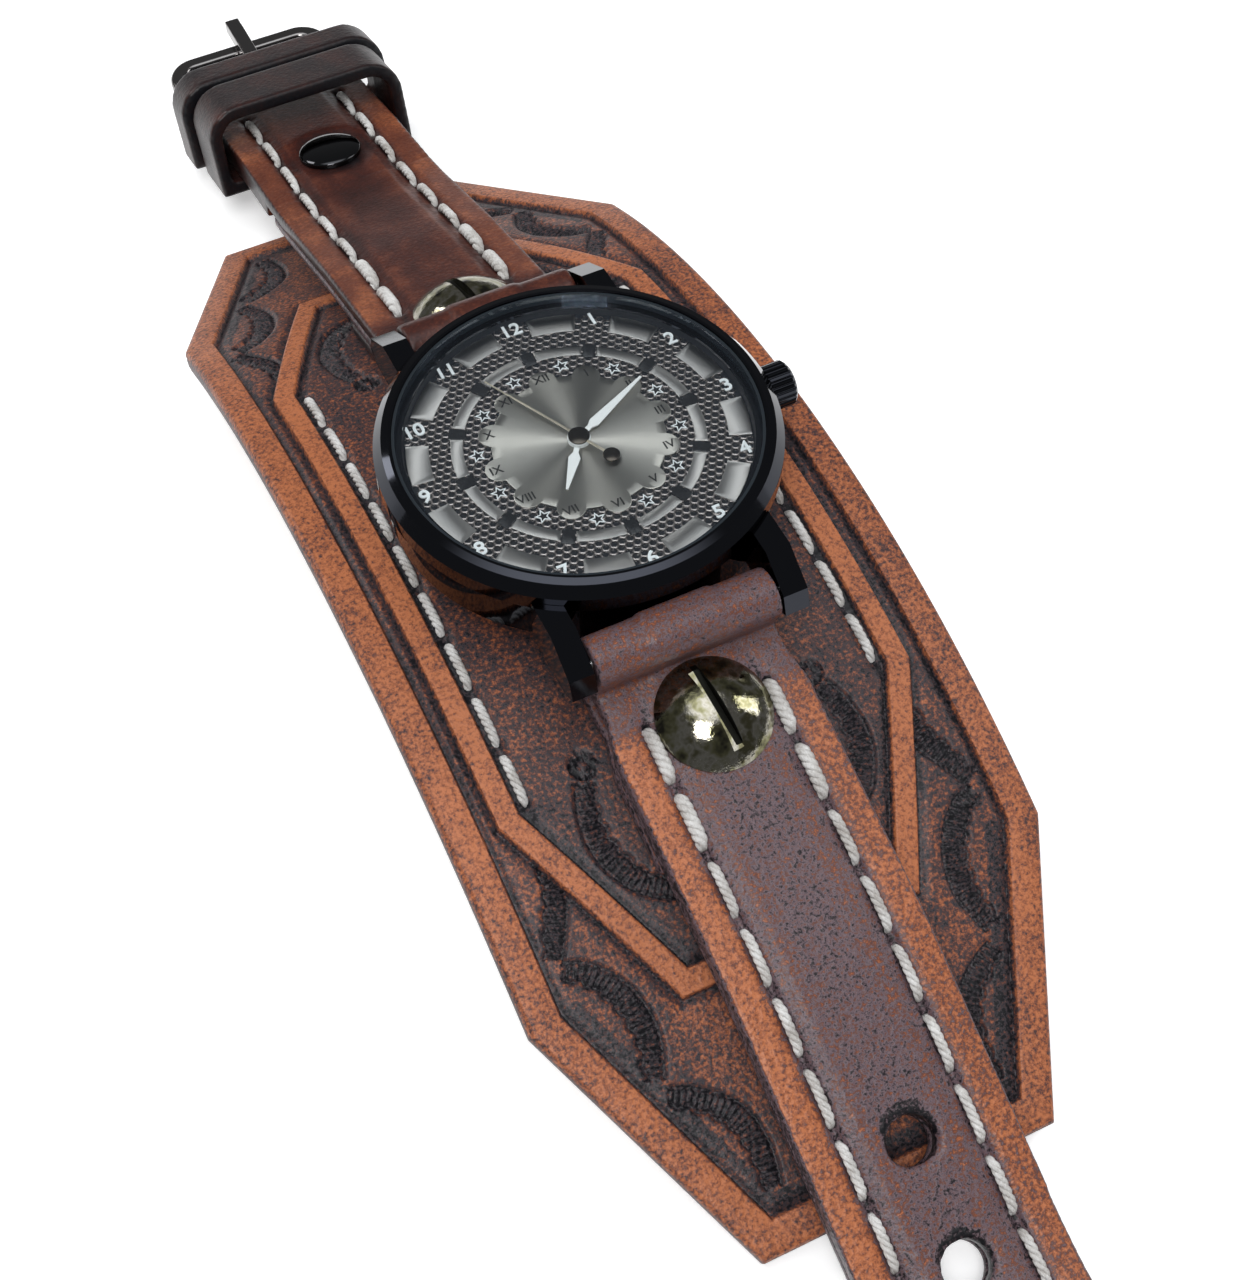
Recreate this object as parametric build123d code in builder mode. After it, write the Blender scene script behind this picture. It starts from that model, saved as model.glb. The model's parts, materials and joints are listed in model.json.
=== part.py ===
"""Cuff watch: a round quartz watch on a two-piece leather strap over a wide tooled leather cuff.

The part stands as it lies on a table, on the two bent-down ends of its cuff. +Z is up, +Y runs
along the strap towards 12 o'clock, +X points to 3 o'clock, and the origin is on the table at the
middle of the whole part's footprint. Lengths are in millimetres, angles in degrees.

Places along the strap are given as distances out from the watch's axis. Depths in the watch
are measured down from the rim of its crystal.
"""

from math import asin, cos, degrees, hypot, radians, sin, sqrt, tan
import os

from build123d import *

os.makedirs("parts", exist_ok=True)

# Cuff
cuff_thickness = 3.2
cuff_half_width = 28.6
cuff_end_half_width = 16.3
cuff_half_length = 80.2
cuff_side_half_length = 51.8
cuff_bend_radius = 112.0
cuff_bend_angle = 25.2
cuff_watch_offset = 1.5
border_width = 3.6
ridge_half_width = 23.3
ridge_end_half_width = 13.4
ridge_side_half_length = 32.5
ridge_half_length = 55.0
ridge_width = 2.6
tooling_depth = 0.5
cuff_lining_thickness = 0.9
lining_inset = 2.2
lining_end_inset = 6.0

# Watch head
rim_above_cuff = 12.8
bezel_radius = 21.0
bezel_top_radius = 19.35
bezel_slope_radius = 20.1
bezel_slope_depth = 0.25
bezel_shoulder_depth = 1.5
bezel_wall_depth = 3.2
bezel_depth = 3.8
bezel_foot_radius = 20.6
bezel_bore_radius = 18.75
rim_radius = 19.05
crystal_radius = 18.65
crystal_edge_depth = 0.2
crystal_bottom_depth = 1.25
crystal_rise = 0.2
ledge_radius = 18.05
ledge_thickness = 0.35
rehaut_top_radius = 18.25
rehaut_bottom_radius = 17.8
dial_radius = 18.6
dial_depth = 2.44
dial_thickness = 0.4
dial_hole_radius = 1.05
case_radius = 20.2
case_depth = 8.4
case_bore_radius = 18.3
case_lip_radius = 18.7
back_recess_radius = 18.65
back_recess_depth = 7.8
back_rim_radius = 18.6
back_rim_depth = 8.7
back_face_radius = 16.8
back_depth = 9.9
back_gasket_radius = 18.25
back_gasket_width = 0.5
back_gasket_height = 0.45
fit_gap = 0.04

# Lugs, spring bars and crown
lug_inner_x = 10.3
lug_width = 2.7
lug_root = 16.6
lug_top_depth = 2.4
lug_shoulder = 21.2
lug_face = 25.2
lug_face_depth = 5.0
lug_tip = 25.9
lug_tip_depth = 7.2
lug_under = 24.0
lug_under_depth = 8.3
bar_out = 23.1
bar_depth = 6.3
bar_tube_radius = 0.9
bar_tube_bore = 0.62
bar_tube_half_length = 9.8
bar_crimp_length = 0.5
bar_pin_radius = 0.4
bar_pin_gap = 0.04
bar_pin_reach = 1.1
bar_pin_length = 4.2
bar_flange_radius = 0.57
bar_flange_length = 0.5
bar_pin_travel = 0.9
bar_spring_radius = 0.46
bar_spring_wire_radius = 0.09
bar_spring_pitch = 1.3
stem_depth = 5.3
stem_radius = 0.45
stem_inner_end = 9.4
stem_groove_radius = 0.3
stem_groove_at = 10.4
stem_groove_width = 0.5
stem_gap = 0.05
crown_radius = 2.5
crown_start = 21.35
crown_length = 3.1
crown_edge = 0.35
crown_flutes = 24
crown_flute_radius = 0.2
crown_neck_radius = 1.5
crown_neck_length = 0.8

# Hands. Their angles are clockwise from 12 o'clock
hour_hand_angle = 215.5
minute_hand_angle = 63.3
seconds_hand_angle = 333.0
hour_hand_length = 6.75
minute_hand_length = 10.45
seconds_hand_length = 12.4
hour_blade_width = 1.25
minute_blade_width = 1.15
blade_start = 1.85
blade_shoulder = 0.7
hand_neck_width = 0.55
hand_hub_radius = 1.2
hour_hand_depth = 2.0
minute_hand_depth = 1.72
seconds_hand_depth = 1.45
hand_thickness = 0.14
needle_width = 0.24
needle_tail = 4.2
needle_disc_radius = 0.85
needle_hub_radius = 0.6

# Movement. Directions are anticlockwise from 3 o'clock
plate_radius = 13.2
plate_depth = 3.65
plate_thickness = 0.75
plate_rim_width = 1.0
bridge_radius = 12.9
bridge_depth = 6.15
bridge_thickness = 0.55
pillar_radius = 0.7
pillar_circle = 11.9
pillar_directions = (40.0, 140.0, 245.0)
holder_radius = 17.6
holder_channel = 2.0
pivot_radius = 0.15
pivot_gap = 0.06
pivot_depth = 0.25
tooth_gap = 0.02
wheel_thickness = 0.2
arbor_radius = 0.25
cannon_radius = 0.55
cannon_bore = 0.3
hour_tube_radius = 0.9
hour_tube_bore = 0.62
motion_distance = 2.91
motion_direction = 200.0
cannon_leaf_share = 1 / 4
motion_pinion_share = 1 / 5
motion_post_radius = 0.25
third_distance = 3.2
third_direction = 250.0
fourth_pinion_share = 1 / 9
third_pinion_share = 1 / 8.5
fifth_distance = 3.3
fifth_direction = 110.0
fifth_pinion_share = 1 / 7
rotor_distance = 2.4
rotor_direction = 150.0
rotor_pinion_share = 1 / 6
cannon_leaf_depth = 3.4
hour_wheel_depth = 3.08
centre_wheel_depth = 4.55
middle_wheel_depth = 5.25
fourth_wheel_depth = 5.7
rotor_magnet_radius = 0.9
rotor_magnet_depth = 4.65
rotor_magnet_height = 0.45
stator_x = -3.4
stator_y = 6.0
stator_width = 3.6
stator_length = 5.6
stator_depth = 4.65
stator_thickness = 0.4
stator_bore = 1.2
battery_x = 6.6
battery_y = -5.4
battery_radius = 3.4
battery_depth = 4.5
battery_height = 1.8
battery_cap_radius = 2.8
battery_cap_height = 0.2
battery_gap = 0.2
coil_x = 1.0
coil_y = 9.8
coil_depth = 5.3
coil_radius = 0.75
coil_length = 9.0
coil_cheek_radius = 0.85
coil_cheek_thickness = 0.3
board_x = -8.0
board_y = -1.5
board_width = 4.5
board_length = 8.0
board_depth = 4.45
board_thickness = 0.3
lever_depth = 4.45
lever_thickness = 0.35
lever_width = 1.2
lever_length = 3.4
lever_pin_radius = 0.2

# Strap leather
strap_thickness = 2.0
strap_lining_thickness = 1.3
fold_thickness = 1.7
layer_gap = 0.05
loop_half_width = 10.0
clamp_half_width = 10.8
tail_half_width = 10.5
tip_half_width = 10.2
tip_round = 9.0
buckle_end_half_width = 10.6
buckle_loop_half_width = 8.9
loop_front = 23.5
loop_lean = 1.1
loop_round = 1.65
screw_out = 30.4
clamp_touch = 33.0
fold_start = 25.0
fold_end = 41.0
strap_lining_start = 29.4
flex_gap = 0.3

# Lower strap: where it leaves the cuff's slope and where it meets the table, inside or past
# the cuff's end
lower_rise_inside = 20.18
lower_rise_radius = 60.0
lower_touch_past = 14.32
lower_touch_radius = 38.0
first_hole_run = 45.0
hole_radius = 2.5
hole_spacing = 12.5
hole_count = 5
tip_beyond_holes = 24.0

# Upper strap and its buckle: where it bends, flexes and carries its pieces, inside or past the
# cuff's end, and how high it lies there
upper_first_inside = 29.18
upper_second_inside = 11.18
upper_second_height = 16.8
upper_third_past = 3.82
upper_third_height = 13.4
upper_bend_radius = 60.0
upper_lining_clear = 1.2
upper_fold_clear = 1.4
upper_flex_inside = 6.86
rivet_inside = 0.58
rivet_radius = 4.0
rivet_rim_height = 0.3
rivet_dome_height = 0.8
rivet_post_radius = 1.4
rivet_bore_radius = 1.5
rivet_back_radius = 3.2
rivet_back_height = 0.6
rivet_press_depth = 1.0
buckle_bar_past = 27.42
buckle_bar_height = 3.5
buckle_bar_radius = 1.0
buckle_loop_radius = 3.1
buckle_loop_sag = 0.75
buckle_pinch = 5.6
buckle_running_gap = 0.05
buckle_half_width = 11.6
buckle_section = 2.2
buckle_near_reach = 1.7
buckle_far_reach = 9.9
buckle_round = 3.0
buckle_edge_round = 0.6
prong_width = 2.0
prong_slot_half_width = 1.4
prong_slot_reach = 3.4
prong_eye_radius = 2.0
prong_rest_gap = 0.05
prong_overhang = 4.0
free_keeper_past = 11.02
free_keeper_width = 8.6
free_keeper_half_width = 13.4
fixed_keeper_past = 19.02
fixed_keeper_width = 5.6
fixed_keeper_half_width = 14.4
keeper_thickness = 1.7
keeper_room = 4.3
keeper_round = 4.5
keeper_under_round = 2.9
keeper_gap = 0.3

# Screws that clamp the strap to the cuff
screw_head_radius = 6.0
screw_rim_height = 0.5
screw_dome_height = 2.5
screw_slot_width = 1.15
screw_slot_depth = 1.3
screw_slot_turn = 5.0
screw_thread_radius = 1.5
screw_thread_length = 6.5
screw_post_radius = 2.4
screw_back_radius = 5.2
screw_back_height = 1.1
screw_hole_gap = 0.1
screw_tilt_gap = 0.42

# Stitching
thread_radius = 0.55
stitch_length = 5.2
stitch_proud = 0.1
groove_depth = 0.55
groove_width = 1.4
cuff_row_x = 19.7
cuff_row_spacing = 6.9
cuff_row_stitches = 9
strap_row_inset = 4.1
lower_row_start = 1.6
lower_row_spacing = 7.25
lower_row_stitches = 9
tail_row_stitches = 6
upper_row_start = 7.6
upper_row_spacing = 7.6
buckle_end_stitches = 3

overrun = 1.0
run_tolerance = 0.004
wide = 40.0
tall = 80.0

lower = -1
upper = 1

# Heights and layer depths that follow

bend = radians(cuff_bend_angle)
cuff_bend_run = cuff_bend_radius * bend
cuff_straight = cuff_half_length - cuff_bend_run
cuff_drop = cuff_bend_radius * (1 - cos(bend)) + cuff_straight * sin(bend)
cuff_top = cuff_drop + cuff_thickness * cos(bend)
rim_height = cuff_top + rim_above_cuff
cuff_end_out = cuff_bend_radius * sin(bend) + cuff_straight * cos(bend)
lower_end_out = cuff_end_out - cuff_watch_offset
upper_end_out = cuff_end_out + cuff_watch_offset
lower_rise_out = lower_end_out - lower_rise_inside
lower_touch_out = lower_end_out + lower_touch_past
upper_first_out = upper_end_out - upper_first_inside
upper_second_out = upper_end_out - upper_second_inside
upper_third_out = upper_end_out + upper_third_past
upper_flex_out = upper_end_out - upper_flex_inside
rivet_out = upper_end_out - rivet_inside
free_keeper_out = upper_end_out + free_keeper_past
fixed_keeper_out = upper_end_out + fixed_keeper_past
buckle_bar_out = upper_end_out + buckle_bar_past
bar_height = rim_height - bar_depth
strap_total = strap_thickness + layer_gap + strap_lining_thickness
fold_total = strap_thickness + layer_gap + fold_thickness
clamped_total = strap_total + layer_gap + fold_thickness + layer_gap
cuff_total = cuff_thickness + layer_gap + cuff_lining_thickness


def clamp_line(side, out):
    """Height of the strap's upper face where the screw clamps it flat along the cuff."""
    slope = asin((clamp_touch - side * cuff_watch_offset) / cuff_bend_radius)
    touch_height = cuff_top - cuff_bend_radius * (1 - cos(slope))
    from_touch = out - clamp_touch - clamped_total * sin(slope)
    return touch_height + clamped_total * cos(slope) - from_touch * tan(slope)


# The strap's upper face runs down to the buckle and just touches the loop round its bar

bar_away = hypot(buckle_bar_out - upper_third_out, upper_third_height - buckle_bar_height)
buckle_slope = (asin((upper_third_height - buckle_bar_height) / bar_away)
                - asin(buckle_loop_radius / bar_away))
buckle_touch = (buckle_bar_out + buckle_loop_radius * sin(buckle_slope),
                buckle_bar_height + buckle_loop_radius * cos(buckle_slope))

# Routes of the strap's upper face, as (distance out, height), with their bend radii

lower_route = [
    (loop_front, clamp_line(lower, loop_front)),
    (lower_rise_out, clamp_line(lower, lower_rise_out)),
    (lower_touch_out, strap_total),
]
lower_radii = [lower_rise_radius, lower_touch_radius]
upper_route = [
    (loop_front, clamp_line(upper, loop_front)),
    (upper_first_out, clamp_line(upper, upper_first_out)),
    (upper_second_out, upper_second_height),
    (upper_third_out, upper_third_height),
    buckle_touch,
]
upper_radii = [upper_bend_radius for corner in upper_route[1:-1]]

first_leg, second_leg = [hypot(end[0] - start[0], end[1] - start[1])
                         for start, end in zip(lower_route, lower_route[1:])]
screw_run = first_leg * (screw_out - loop_front) / (lower_rise_out - loop_front)
tip_run = screw_run + first_hole_run + (hole_count - 1) * hole_spacing + tip_beyond_holes
tail_tip_out = lower_touch_out + tip_run - first_leg - second_leg
lower_route.append((tail_tip_out, strap_total))

# The buckle's far side and prong, and the watch's place midway between the part's two ends

buckle_far_out = buckle_bar_out + buckle_far_reach - buckle_section / 2
prong_tip_out = buckle_far_out + prong_overhang
watch_y = (tail_tip_out - prong_tip_out) / 2
cuff_y = watch_y + cuff_watch_offset
watch = Plane(origin=(0, watch_y, rim_height))


def on_side(side, points):
    """(Y, Z) of side-view points given as (distance out, height) on one side of the watch."""
    return [(watch_y + side * out, height) for out, height in points]


def below(route, depth):
    """A route moved down, square to itself."""
    points = [Vector(*point) for point in route]
    legs = [(end - start).normalized() for start, end in zip(points, points[1:])]
    moved = []
    for point, before, after in zip(points, legs[:1] + legs, legs + legs[-1:]):
        mitre = Vector(before.Y + after.Y, -before.X - after.X) / (1 + before.dot(after))
        moved.append((point.X + depth * mitre.X, point.Y + depth * mitre.Y))
    return moved


def radii_below(route, radii, depth):
    """Bend radii of a route moved down: more where it turns up, less where it turns down."""
    moved = []
    for start, middle, end, radius in zip(route, route[1:], route[2:], radii):
        turn = ((middle[0] - start[0]) * (end[1] - middle[1])
                - (middle[1] - start[1]) * (end[0] - middle[0]))
        moved.append(radius + depth if turn > 0 else radius - depth)
    return moved


def layer(side, route, radii, top, bottom):
    """Side view of a layer of leather between two depths under a route."""
    with BuildSketch(Plane.YZ) as view:
        with BuildLine():
            ends = []
            for depth in (top, bottom):
                points = on_side(side, below(route, depth))
                FilletPolyline(*points, radius=radii_below(route, radii, depth))
                ends.append((points[0], points[-1]))
            Line(ends[0][0], ends[1][0])
            Line(ends[0][1], ends[1][1])
        make_face()
    return view.sketch


def upper_face(side, route, radii):
    """The line of a route in the part's frame."""
    with BuildLine(Plane.YZ) as line:
        FilletPolyline(*on_side(side, route), radius=radii)
    return line.wire()


lower_face = upper_face(lower, lower_route, lower_radii)
buckle_face = upper_face(upper, upper_route, upper_radii)


def seat(side, run, x=0.0, lift=0.0):
    """Plane on a strap's upper face, its x axis running outwards and its z axis off the face."""
    face = lower_face if side == lower else buckle_face
    origin = face.position_at(run, position_mode=PositionMode.LENGTH)
    along = face.tangent_at(run, position_mode=PositionMode.LENGTH)
    off = Vector(1, 0, 0).cross(along) * side
    return Plane(origin=origin + off * lift + Vector(x, 0, 0), x_dir=along, z_dir=off)


def run_to(side, out):
    """Length along a strap's upper face to a distance out, found by halving."""
    low = 0.0
    high = tail_tip_out
    while high - low > run_tolerance:
        middle = (low + high) / 2
        if side * (seat(side, middle).origin.Y - watch_y) < out:
            low = middle
        else:
            high = middle
    return low


screw_runs = {side: run_to(side, screw_out) for side in (lower, upper)}
screw_seats = [seat(side, screw_runs[side]) for side in (lower, upper)]
hole_seats = [seat(lower, screw_runs[lower] + first_hole_run + i * hole_spacing)
              for i in range(hole_count)]
lower_flex_run = (screw_runs[lower] + lower_row_start
                  + (lower_row_stitches - 1 / 2) * lower_row_spacing)
upper_flex_run = run_to(upper, upper_flex_out)
upper_row_length = upper_flex_run - screw_runs[upper] - upper_row_start
upper_row_stitches = round(upper_row_length / upper_row_spacing + 1 / 2)
upper_row_step = upper_row_length / (upper_row_stitches - 1 / 2)
lower_flex = seat(lower, lower_flex_run, lift=-strap_total / 2)
upper_flex = seat(upper, upper_flex_run, lift=-strap_thickness / 2)


def beyond(side, flex, radius):
    """Side view of everything outwards of a flexing line, with a round inner end."""
    slope = degrees(asin(flex.x_dir.Z))
    with BuildSketch(Plane.YZ) as view:
        with Locations((flex.origin.Y, flex.origin.Z)):
            Circle(radius)
            Rectangle(tail_tip_out, tall, rotation=side * slope,
                      align=(Align.MIN if side == upper else Align.MAX, Align.CENTER))
    return view.sketch


def plan(side, outline, tip_radius=0.0):
    """Plan of a strap, from (distance out, half width) pairs."""
    right = [(half, watch_y + side * out) for out, half in outline]
    left = [(-half, watch_y + side * out) for out, half in reversed(outline)]
    with BuildSketch() as view:
        with BuildLine():
            Polyline(*right, *left, close=True)
        make_face()
        if tip_radius:
            ends = view.vertices().group_by(Axis.Y)
            fillet(ends[0] if side == lower else ends[-1], tip_radius)
    return view.sketch


def stretch(side, start, end):
    """Plan of everything between two distances out on one side of the watch."""
    with BuildSketch() as view:
        with Locations((0, watch_y + side * (start + end) / 2)):
            Rectangle(wide, end - start)
    return view.sketch


strap_start = bar_out - buckle_loop_radius - overrun
lower_outline = [
    (strap_start, loop_half_width),
    (lug_tip + overrun, loop_half_width),
    (screw_out, clamp_half_width),
    (lower_touch_out, tail_half_width),
    (tail_tip_out, tip_half_width),
]
upper_outline = [
    (strap_start, loop_half_width),
    (lug_tip + overrun, loop_half_width),
    (screw_out, clamp_half_width),
    (fixed_keeper_out, buckle_end_half_width),
    (fixed_keeper_out + fixed_keeper_width / 2 + overrun, buckle_loop_half_width),
    (buckle_far_out, buckle_loop_half_width),
]
lower_plan = plan(lower, lower_outline, tip_round)
upper_plan = plan(upper, upper_outline)


def row_x(outline, out):
    """Distance of a stitch row from the strap's middle line."""
    for (start, near), (end, far) in zip(outline, outline[1:]):
        if start <= out <= end:
            return near + (far - near) * (out - start) / (end - start) - strap_row_inset


def row_seats(side, outline, runs):
    """Seats of the stitches in both rows of a strap, from their lengths along it."""
    seats = []
    for run in runs:
        out = side * (seat(side, run).origin.Y - watch_y)
        for hand in (-1, 1):
            seats.append(seat(side, run, hand * row_x(outline, out), stitch_proud))
    return seats


def row_plan(side, outline, first_run, last_run):
    """Plan of the grooves for both stitch rows between two lengths along a strap."""
    stops = [side * (seat(side, run).origin.Y - watch_y) for run in (first_run, last_run)]
    stops[1:1] = [out for out, half in outline if stops[0] < out < stops[1]]
    with BuildSketch() as view:
        for hand in (-1, 1):
            with BuildLine():
                Polyline(*[(hand * row_x(outline, out), watch_y + side * out) for out in stops])
            trace(line_width=groove_width)
    return view.sketch


def turned(place, *outline, dome=0.0, mode=Mode.ADD):
    """Turn (radius, height) points about a plane's z axis; a dome may close them at the top."""
    side_plane = Plane(origin=place.origin, x_dir=place.x_dir, z_dir=-place.y_dir)
    with BuildSketch(side_plane) as profile:
        with BuildLine():
            if dome:
                radius, height = outline[-1]
                ball = (radius ** 2 + dome ** 2) / (2 * dome)
                halfway = height + dome - ball + sqrt(ball ** 2 - (radius / 2) ** 2)
                Polyline((0, height + dome), *outline)
                ThreePointArc(outline[-1], (radius / 2, halfway), (0, height + dome))
            else:
                Polyline(*outline, close=True)
        make_face()
    revolve(profile.sketch, axis=Axis(place.origin, place.z_dir), mode=mode)


def disc(spot, radius, top, height, mode=Mode.ADD):
    """Round plate inside the watch, from its place, radius, top depth and thickness."""
    with Locations(watch * Pos(spot[0], spot[1], -top)):
        Cylinder(radius, height, align=(Align.CENTER, Align.CENTER, Align.MAX), mode=mode)


def plate(spot, width, length, top, height, mode=Mode.ADD):
    """Square-cornered plate inside the watch, like disc."""
    with Locations(watch * Pos(spot[0], spot[1], -top)):
        Box(width, length, height, align=(Align.CENTER, Align.CENTER, Align.MAX), mode=mode)


def drill(places, radius):
    """Holes right through the piece being built."""
    with Locations(*places):
        Cylinder(radius, 2 * wide, mode=Mode.SUBTRACT)


# One stitch of thread along X, with round ends

with BuildPart() as stitch:
    with Locations(Rotation(0, 90, 0)):
        Cylinder(thread_radius, stitch_length - 2 * thread_radius)
    half_stitch = stitch_length / 2 - thread_radius
    with Locations((-half_stitch, 0, 0), (half_stitch, 0, 0)):
        Sphere(thread_radius)


def sew(seats):
    """Stitches at given seats."""
    with Locations(*seats):
        add(stitch.part)


# Cuff. Its side view is an arc that runs on straight at both ends

def cuff_point(run, depth):
    """(Y, Z) in the cuff at a length along its upper face from its middle."""
    turn = min(abs(run), cuff_bend_run) / cuff_bend_radius
    straight = max(abs(run) - cuff_bend_run, 0)
    out = (cuff_bend_radius - depth) * sin(turn) + straight * cos(turn)
    fall = cuff_bend_radius - (cuff_bend_radius - depth) * cos(turn) + straight * sin(turn)
    return (cuff_y + (out if run > 0 else -out), cuff_top - fall)


def cuff_layer(top, bottom, half_run):
    """Side view of the cuff between two depths."""
    with BuildSketch(Plane.YZ) as view:
        with BuildLine():
            for depth in (top, bottom):
                bends = [cuff_point(run, depth) for run in (-cuff_bend_run, 0, cuff_bend_run)]
                ThreePointArc(*bends)
                Line(bends[0], cuff_point(-half_run, depth))
                Line(bends[-1], cuff_point(half_run, depth))
            for run in (-half_run, half_run):
                Line(cuff_point(run, top), cuff_point(run, bottom))
        make_face()
    return view.sketch


def octagon(half, end_half, side_run, end_run, inset=0.0):
    """Plan of a long octagon on the cuff, from its half widths and lengths along the cuff."""
    corners = [(half, side_run), (end_half, end_run)]
    corners += [(-x, run) for x, run in reversed(corners)]
    corners += [(x, -run) for x, run in reversed(corners)]
    with BuildSketch() as view:
        with BuildLine():
            Polyline(*[(x, cuff_point(run, 0)[0]) for x, run in corners], close=True)
        make_face()
        if inset:
            offset(amount=-inset, kind=Kind.INTERSECTION, mode=Mode.REPLACE)
    return view.sketch


cuff_sizes = (cuff_half_width, cuff_end_half_width, cuff_side_half_length, cuff_half_length)
ridge_sizes = (ridge_half_width, ridge_end_half_width, ridge_side_half_length, ridge_half_length)
cuff_row_runs = [(i - (cuff_row_stitches - 1) / 2) * cuff_row_spacing
                 for i in range(cuff_row_stitches)]
cuff_row_end = cuff_row_runs[-1] + cuff_row_spacing / 2

with BuildPart() as sunk_tooling:
    extrude(cuff_layer(-overrun, tooling_depth, cuff_half_length), amount=wide, both=True)
    extrude(octagon(*cuff_sizes, border_width), amount=tall, mode=Mode.INTERSECT)
    extrude(octagon(*ridge_sizes), amount=tall, mode=Mode.SUBTRACT)

with BuildPart() as sunk_field:
    extrude(cuff_layer(-overrun, tooling_depth, cuff_half_length), amount=wide, both=True)
    extrude(octagon(*ridge_sizes, ridge_width), amount=tall, mode=Mode.INTERSECT)

with BuildPart() as cuff_grooves:
    extrude(cuff_layer(-overrun, tooling_depth + groove_depth, cuff_half_length),
            amount=wide, both=True)
    with BuildSketch() as cuff_rows:
        with Locations((-cuff_row_x, cuff_y), (cuff_row_x, cuff_y)):
            Rectangle(groove_width, 2 * cuff_row_end)
    extrude(amount=tall, mode=Mode.INTERSECT)

with BuildPart() as cuff:
    extrude(cuff_layer(0, cuff_thickness, cuff_half_length), amount=wide, both=True)
    extrude(octagon(*cuff_sizes), amount=tall, mode=Mode.INTERSECT)
    for sunk in (sunk_tooling, sunk_field, cuff_grooves):
        add(sunk.part, mode=Mode.SUBTRACT)
    drill(screw_seats, screw_post_radius + screw_hole_gap)
cuff.part.label = "cuff"
export_step(cuff.part, "parts/cuff.step")

with BuildPart() as cuff_lining:
    extrude(cuff_layer(cuff_thickness + layer_gap, cuff_total, cuff_half_length - lining_end_inset),
            amount=wide, both=True)
    extrude(octagon(*cuff_sizes, lining_inset), amount=tall, mode=Mode.INTERSECT)
    drill(screw_seats, screw_post_radius + screw_hole_gap)
cuff_lining.part.label = "cuff_lining"
export_step(cuff_lining.part, "parts/cuff_lining.step")


def cuff_seat(x, run):
    """Seat of a stitch in one of the cuff's grooves, lying along the cuff."""
    turn = run / cuff_bend_radius
    y, z = cuff_point(run, tooling_depth - stitch_proud)
    return Plane(origin=(x, y, z), x_dir=(0, cos(turn), -sin(turn)),
                 z_dir=(0, sin(turn), cos(turn)))


with BuildPart() as cuff_stitching:
    sew([cuff_seat(x, run) for x in (-cuff_row_x, cuff_row_x) for run in cuff_row_runs])
cuff_stitching.part.label = "cuff_stitching"
export_step(cuff_stitching.part, "parts/cuff_stitching.step")

# Each strap half loops round its spring bar, and its end folds back under the screw

loop_radius = bar_tube_radius + layer_gap + fold_thickness / 2


def folded_end(side):
    """Side view of the end that lies on the cuff's arc under the strap."""
    arcs = []
    for height in (layer_gap, layer_gap + fold_thickness):
        radius = cuff_bend_radius + height
        places = []
        for out in (fold_start, (fold_start + fold_end) / 2, fold_end):
            turn = (out - side * cuff_watch_offset) / cuff_bend_radius
            places.append((cuff_y + side * radius * sin(turn),
                           cuff_top - cuff_bend_radius + radius * cos(turn)))
        arcs.append(places)
    with BuildSketch(Plane.YZ) as view:
        with BuildLine():
            for places in arcs:
                ThreePointArc(*places)
            Line(arcs[0][0], arcs[1][0])
            Line(arcs[0][-1], arcs[1][-1])
        make_face()
    start_y, start_z = [(near + far) / 2 for near, far in zip(arcs[0][0], arcs[1][0])]
    return view.sketch, (side * (start_y - watch_y), start_z)


def bar_loop(side, route):
    """Side view of the loop round the spring bar, from the strap's face to the folded end."""
    folded = folded_end(side)[1]
    strap_end = below(route, strap_thickness / 2)[0]
    loop_back = bar_out - loop_radius
    loop_top = bar_height + loop_radius
    middle = [strap_end, (bar_out + loop_radius + loop_lean, loop_top), (loop_back, loop_top),
              (loop_back, folded[1]), folded]
    radii = [loop_round] * 3
    with BuildSketch(Plane.YZ) as joints:
        with Locations(*on_side(side, [strap_end])):
            Circle(strap_thickness / 2)
        with Locations(*on_side(side, [folded])):
            Circle(fold_thickness / 2)
    return layer(side, middle, radii, -fold_thickness / 2, fold_thickness / 2) + joints.sketch


def row_grooves(side, route, radii, outline, first_run, last_run):
    """What the grooves for the stitch rows take out of a strap."""
    with BuildPart() as grooves:
        extrude(layer(side, route, radii, -overrun, groove_depth), amount=wide, both=True)
        extrude(row_plan(side, outline, first_run, last_run), amount=tall, mode=Mode.INTERSECT)
    return grooves.part


lower_runs = [screw_runs[lower] + lower_row_start + i * lower_row_spacing
              for i in range(lower_row_stitches + tail_row_stitches)]
upper_runs = [screw_runs[upper] + upper_row_start + i * upper_row_step
              for i in range(upper_row_stitches + buckle_end_stitches)]
lower_grooves = row_grooves(lower, lower_route, lower_radii, lower_outline,
                            lower_runs[0] - stitch_length / 2 - fit_gap,
                            lower_runs[-1] + lower_row_spacing / 2)
upper_grooves = row_grooves(upper, upper_route, upper_radii, upper_outline,
                            upper_runs[0] - upper_row_step / 2,
                            upper_runs[-1] + upper_row_step / 2)
lower_flex_cut = beyond(lower, lower_flex, strap_total / 2 + flex_gap)
upper_flex_cut = beyond(upper, upper_flex, strap_thickness / 2 + flex_gap)
lower_tail = beyond(lower, lower_flex, strap_total / 2)
upper_tail = beyond(upper, upper_flex, strap_thickness / 2)

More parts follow.
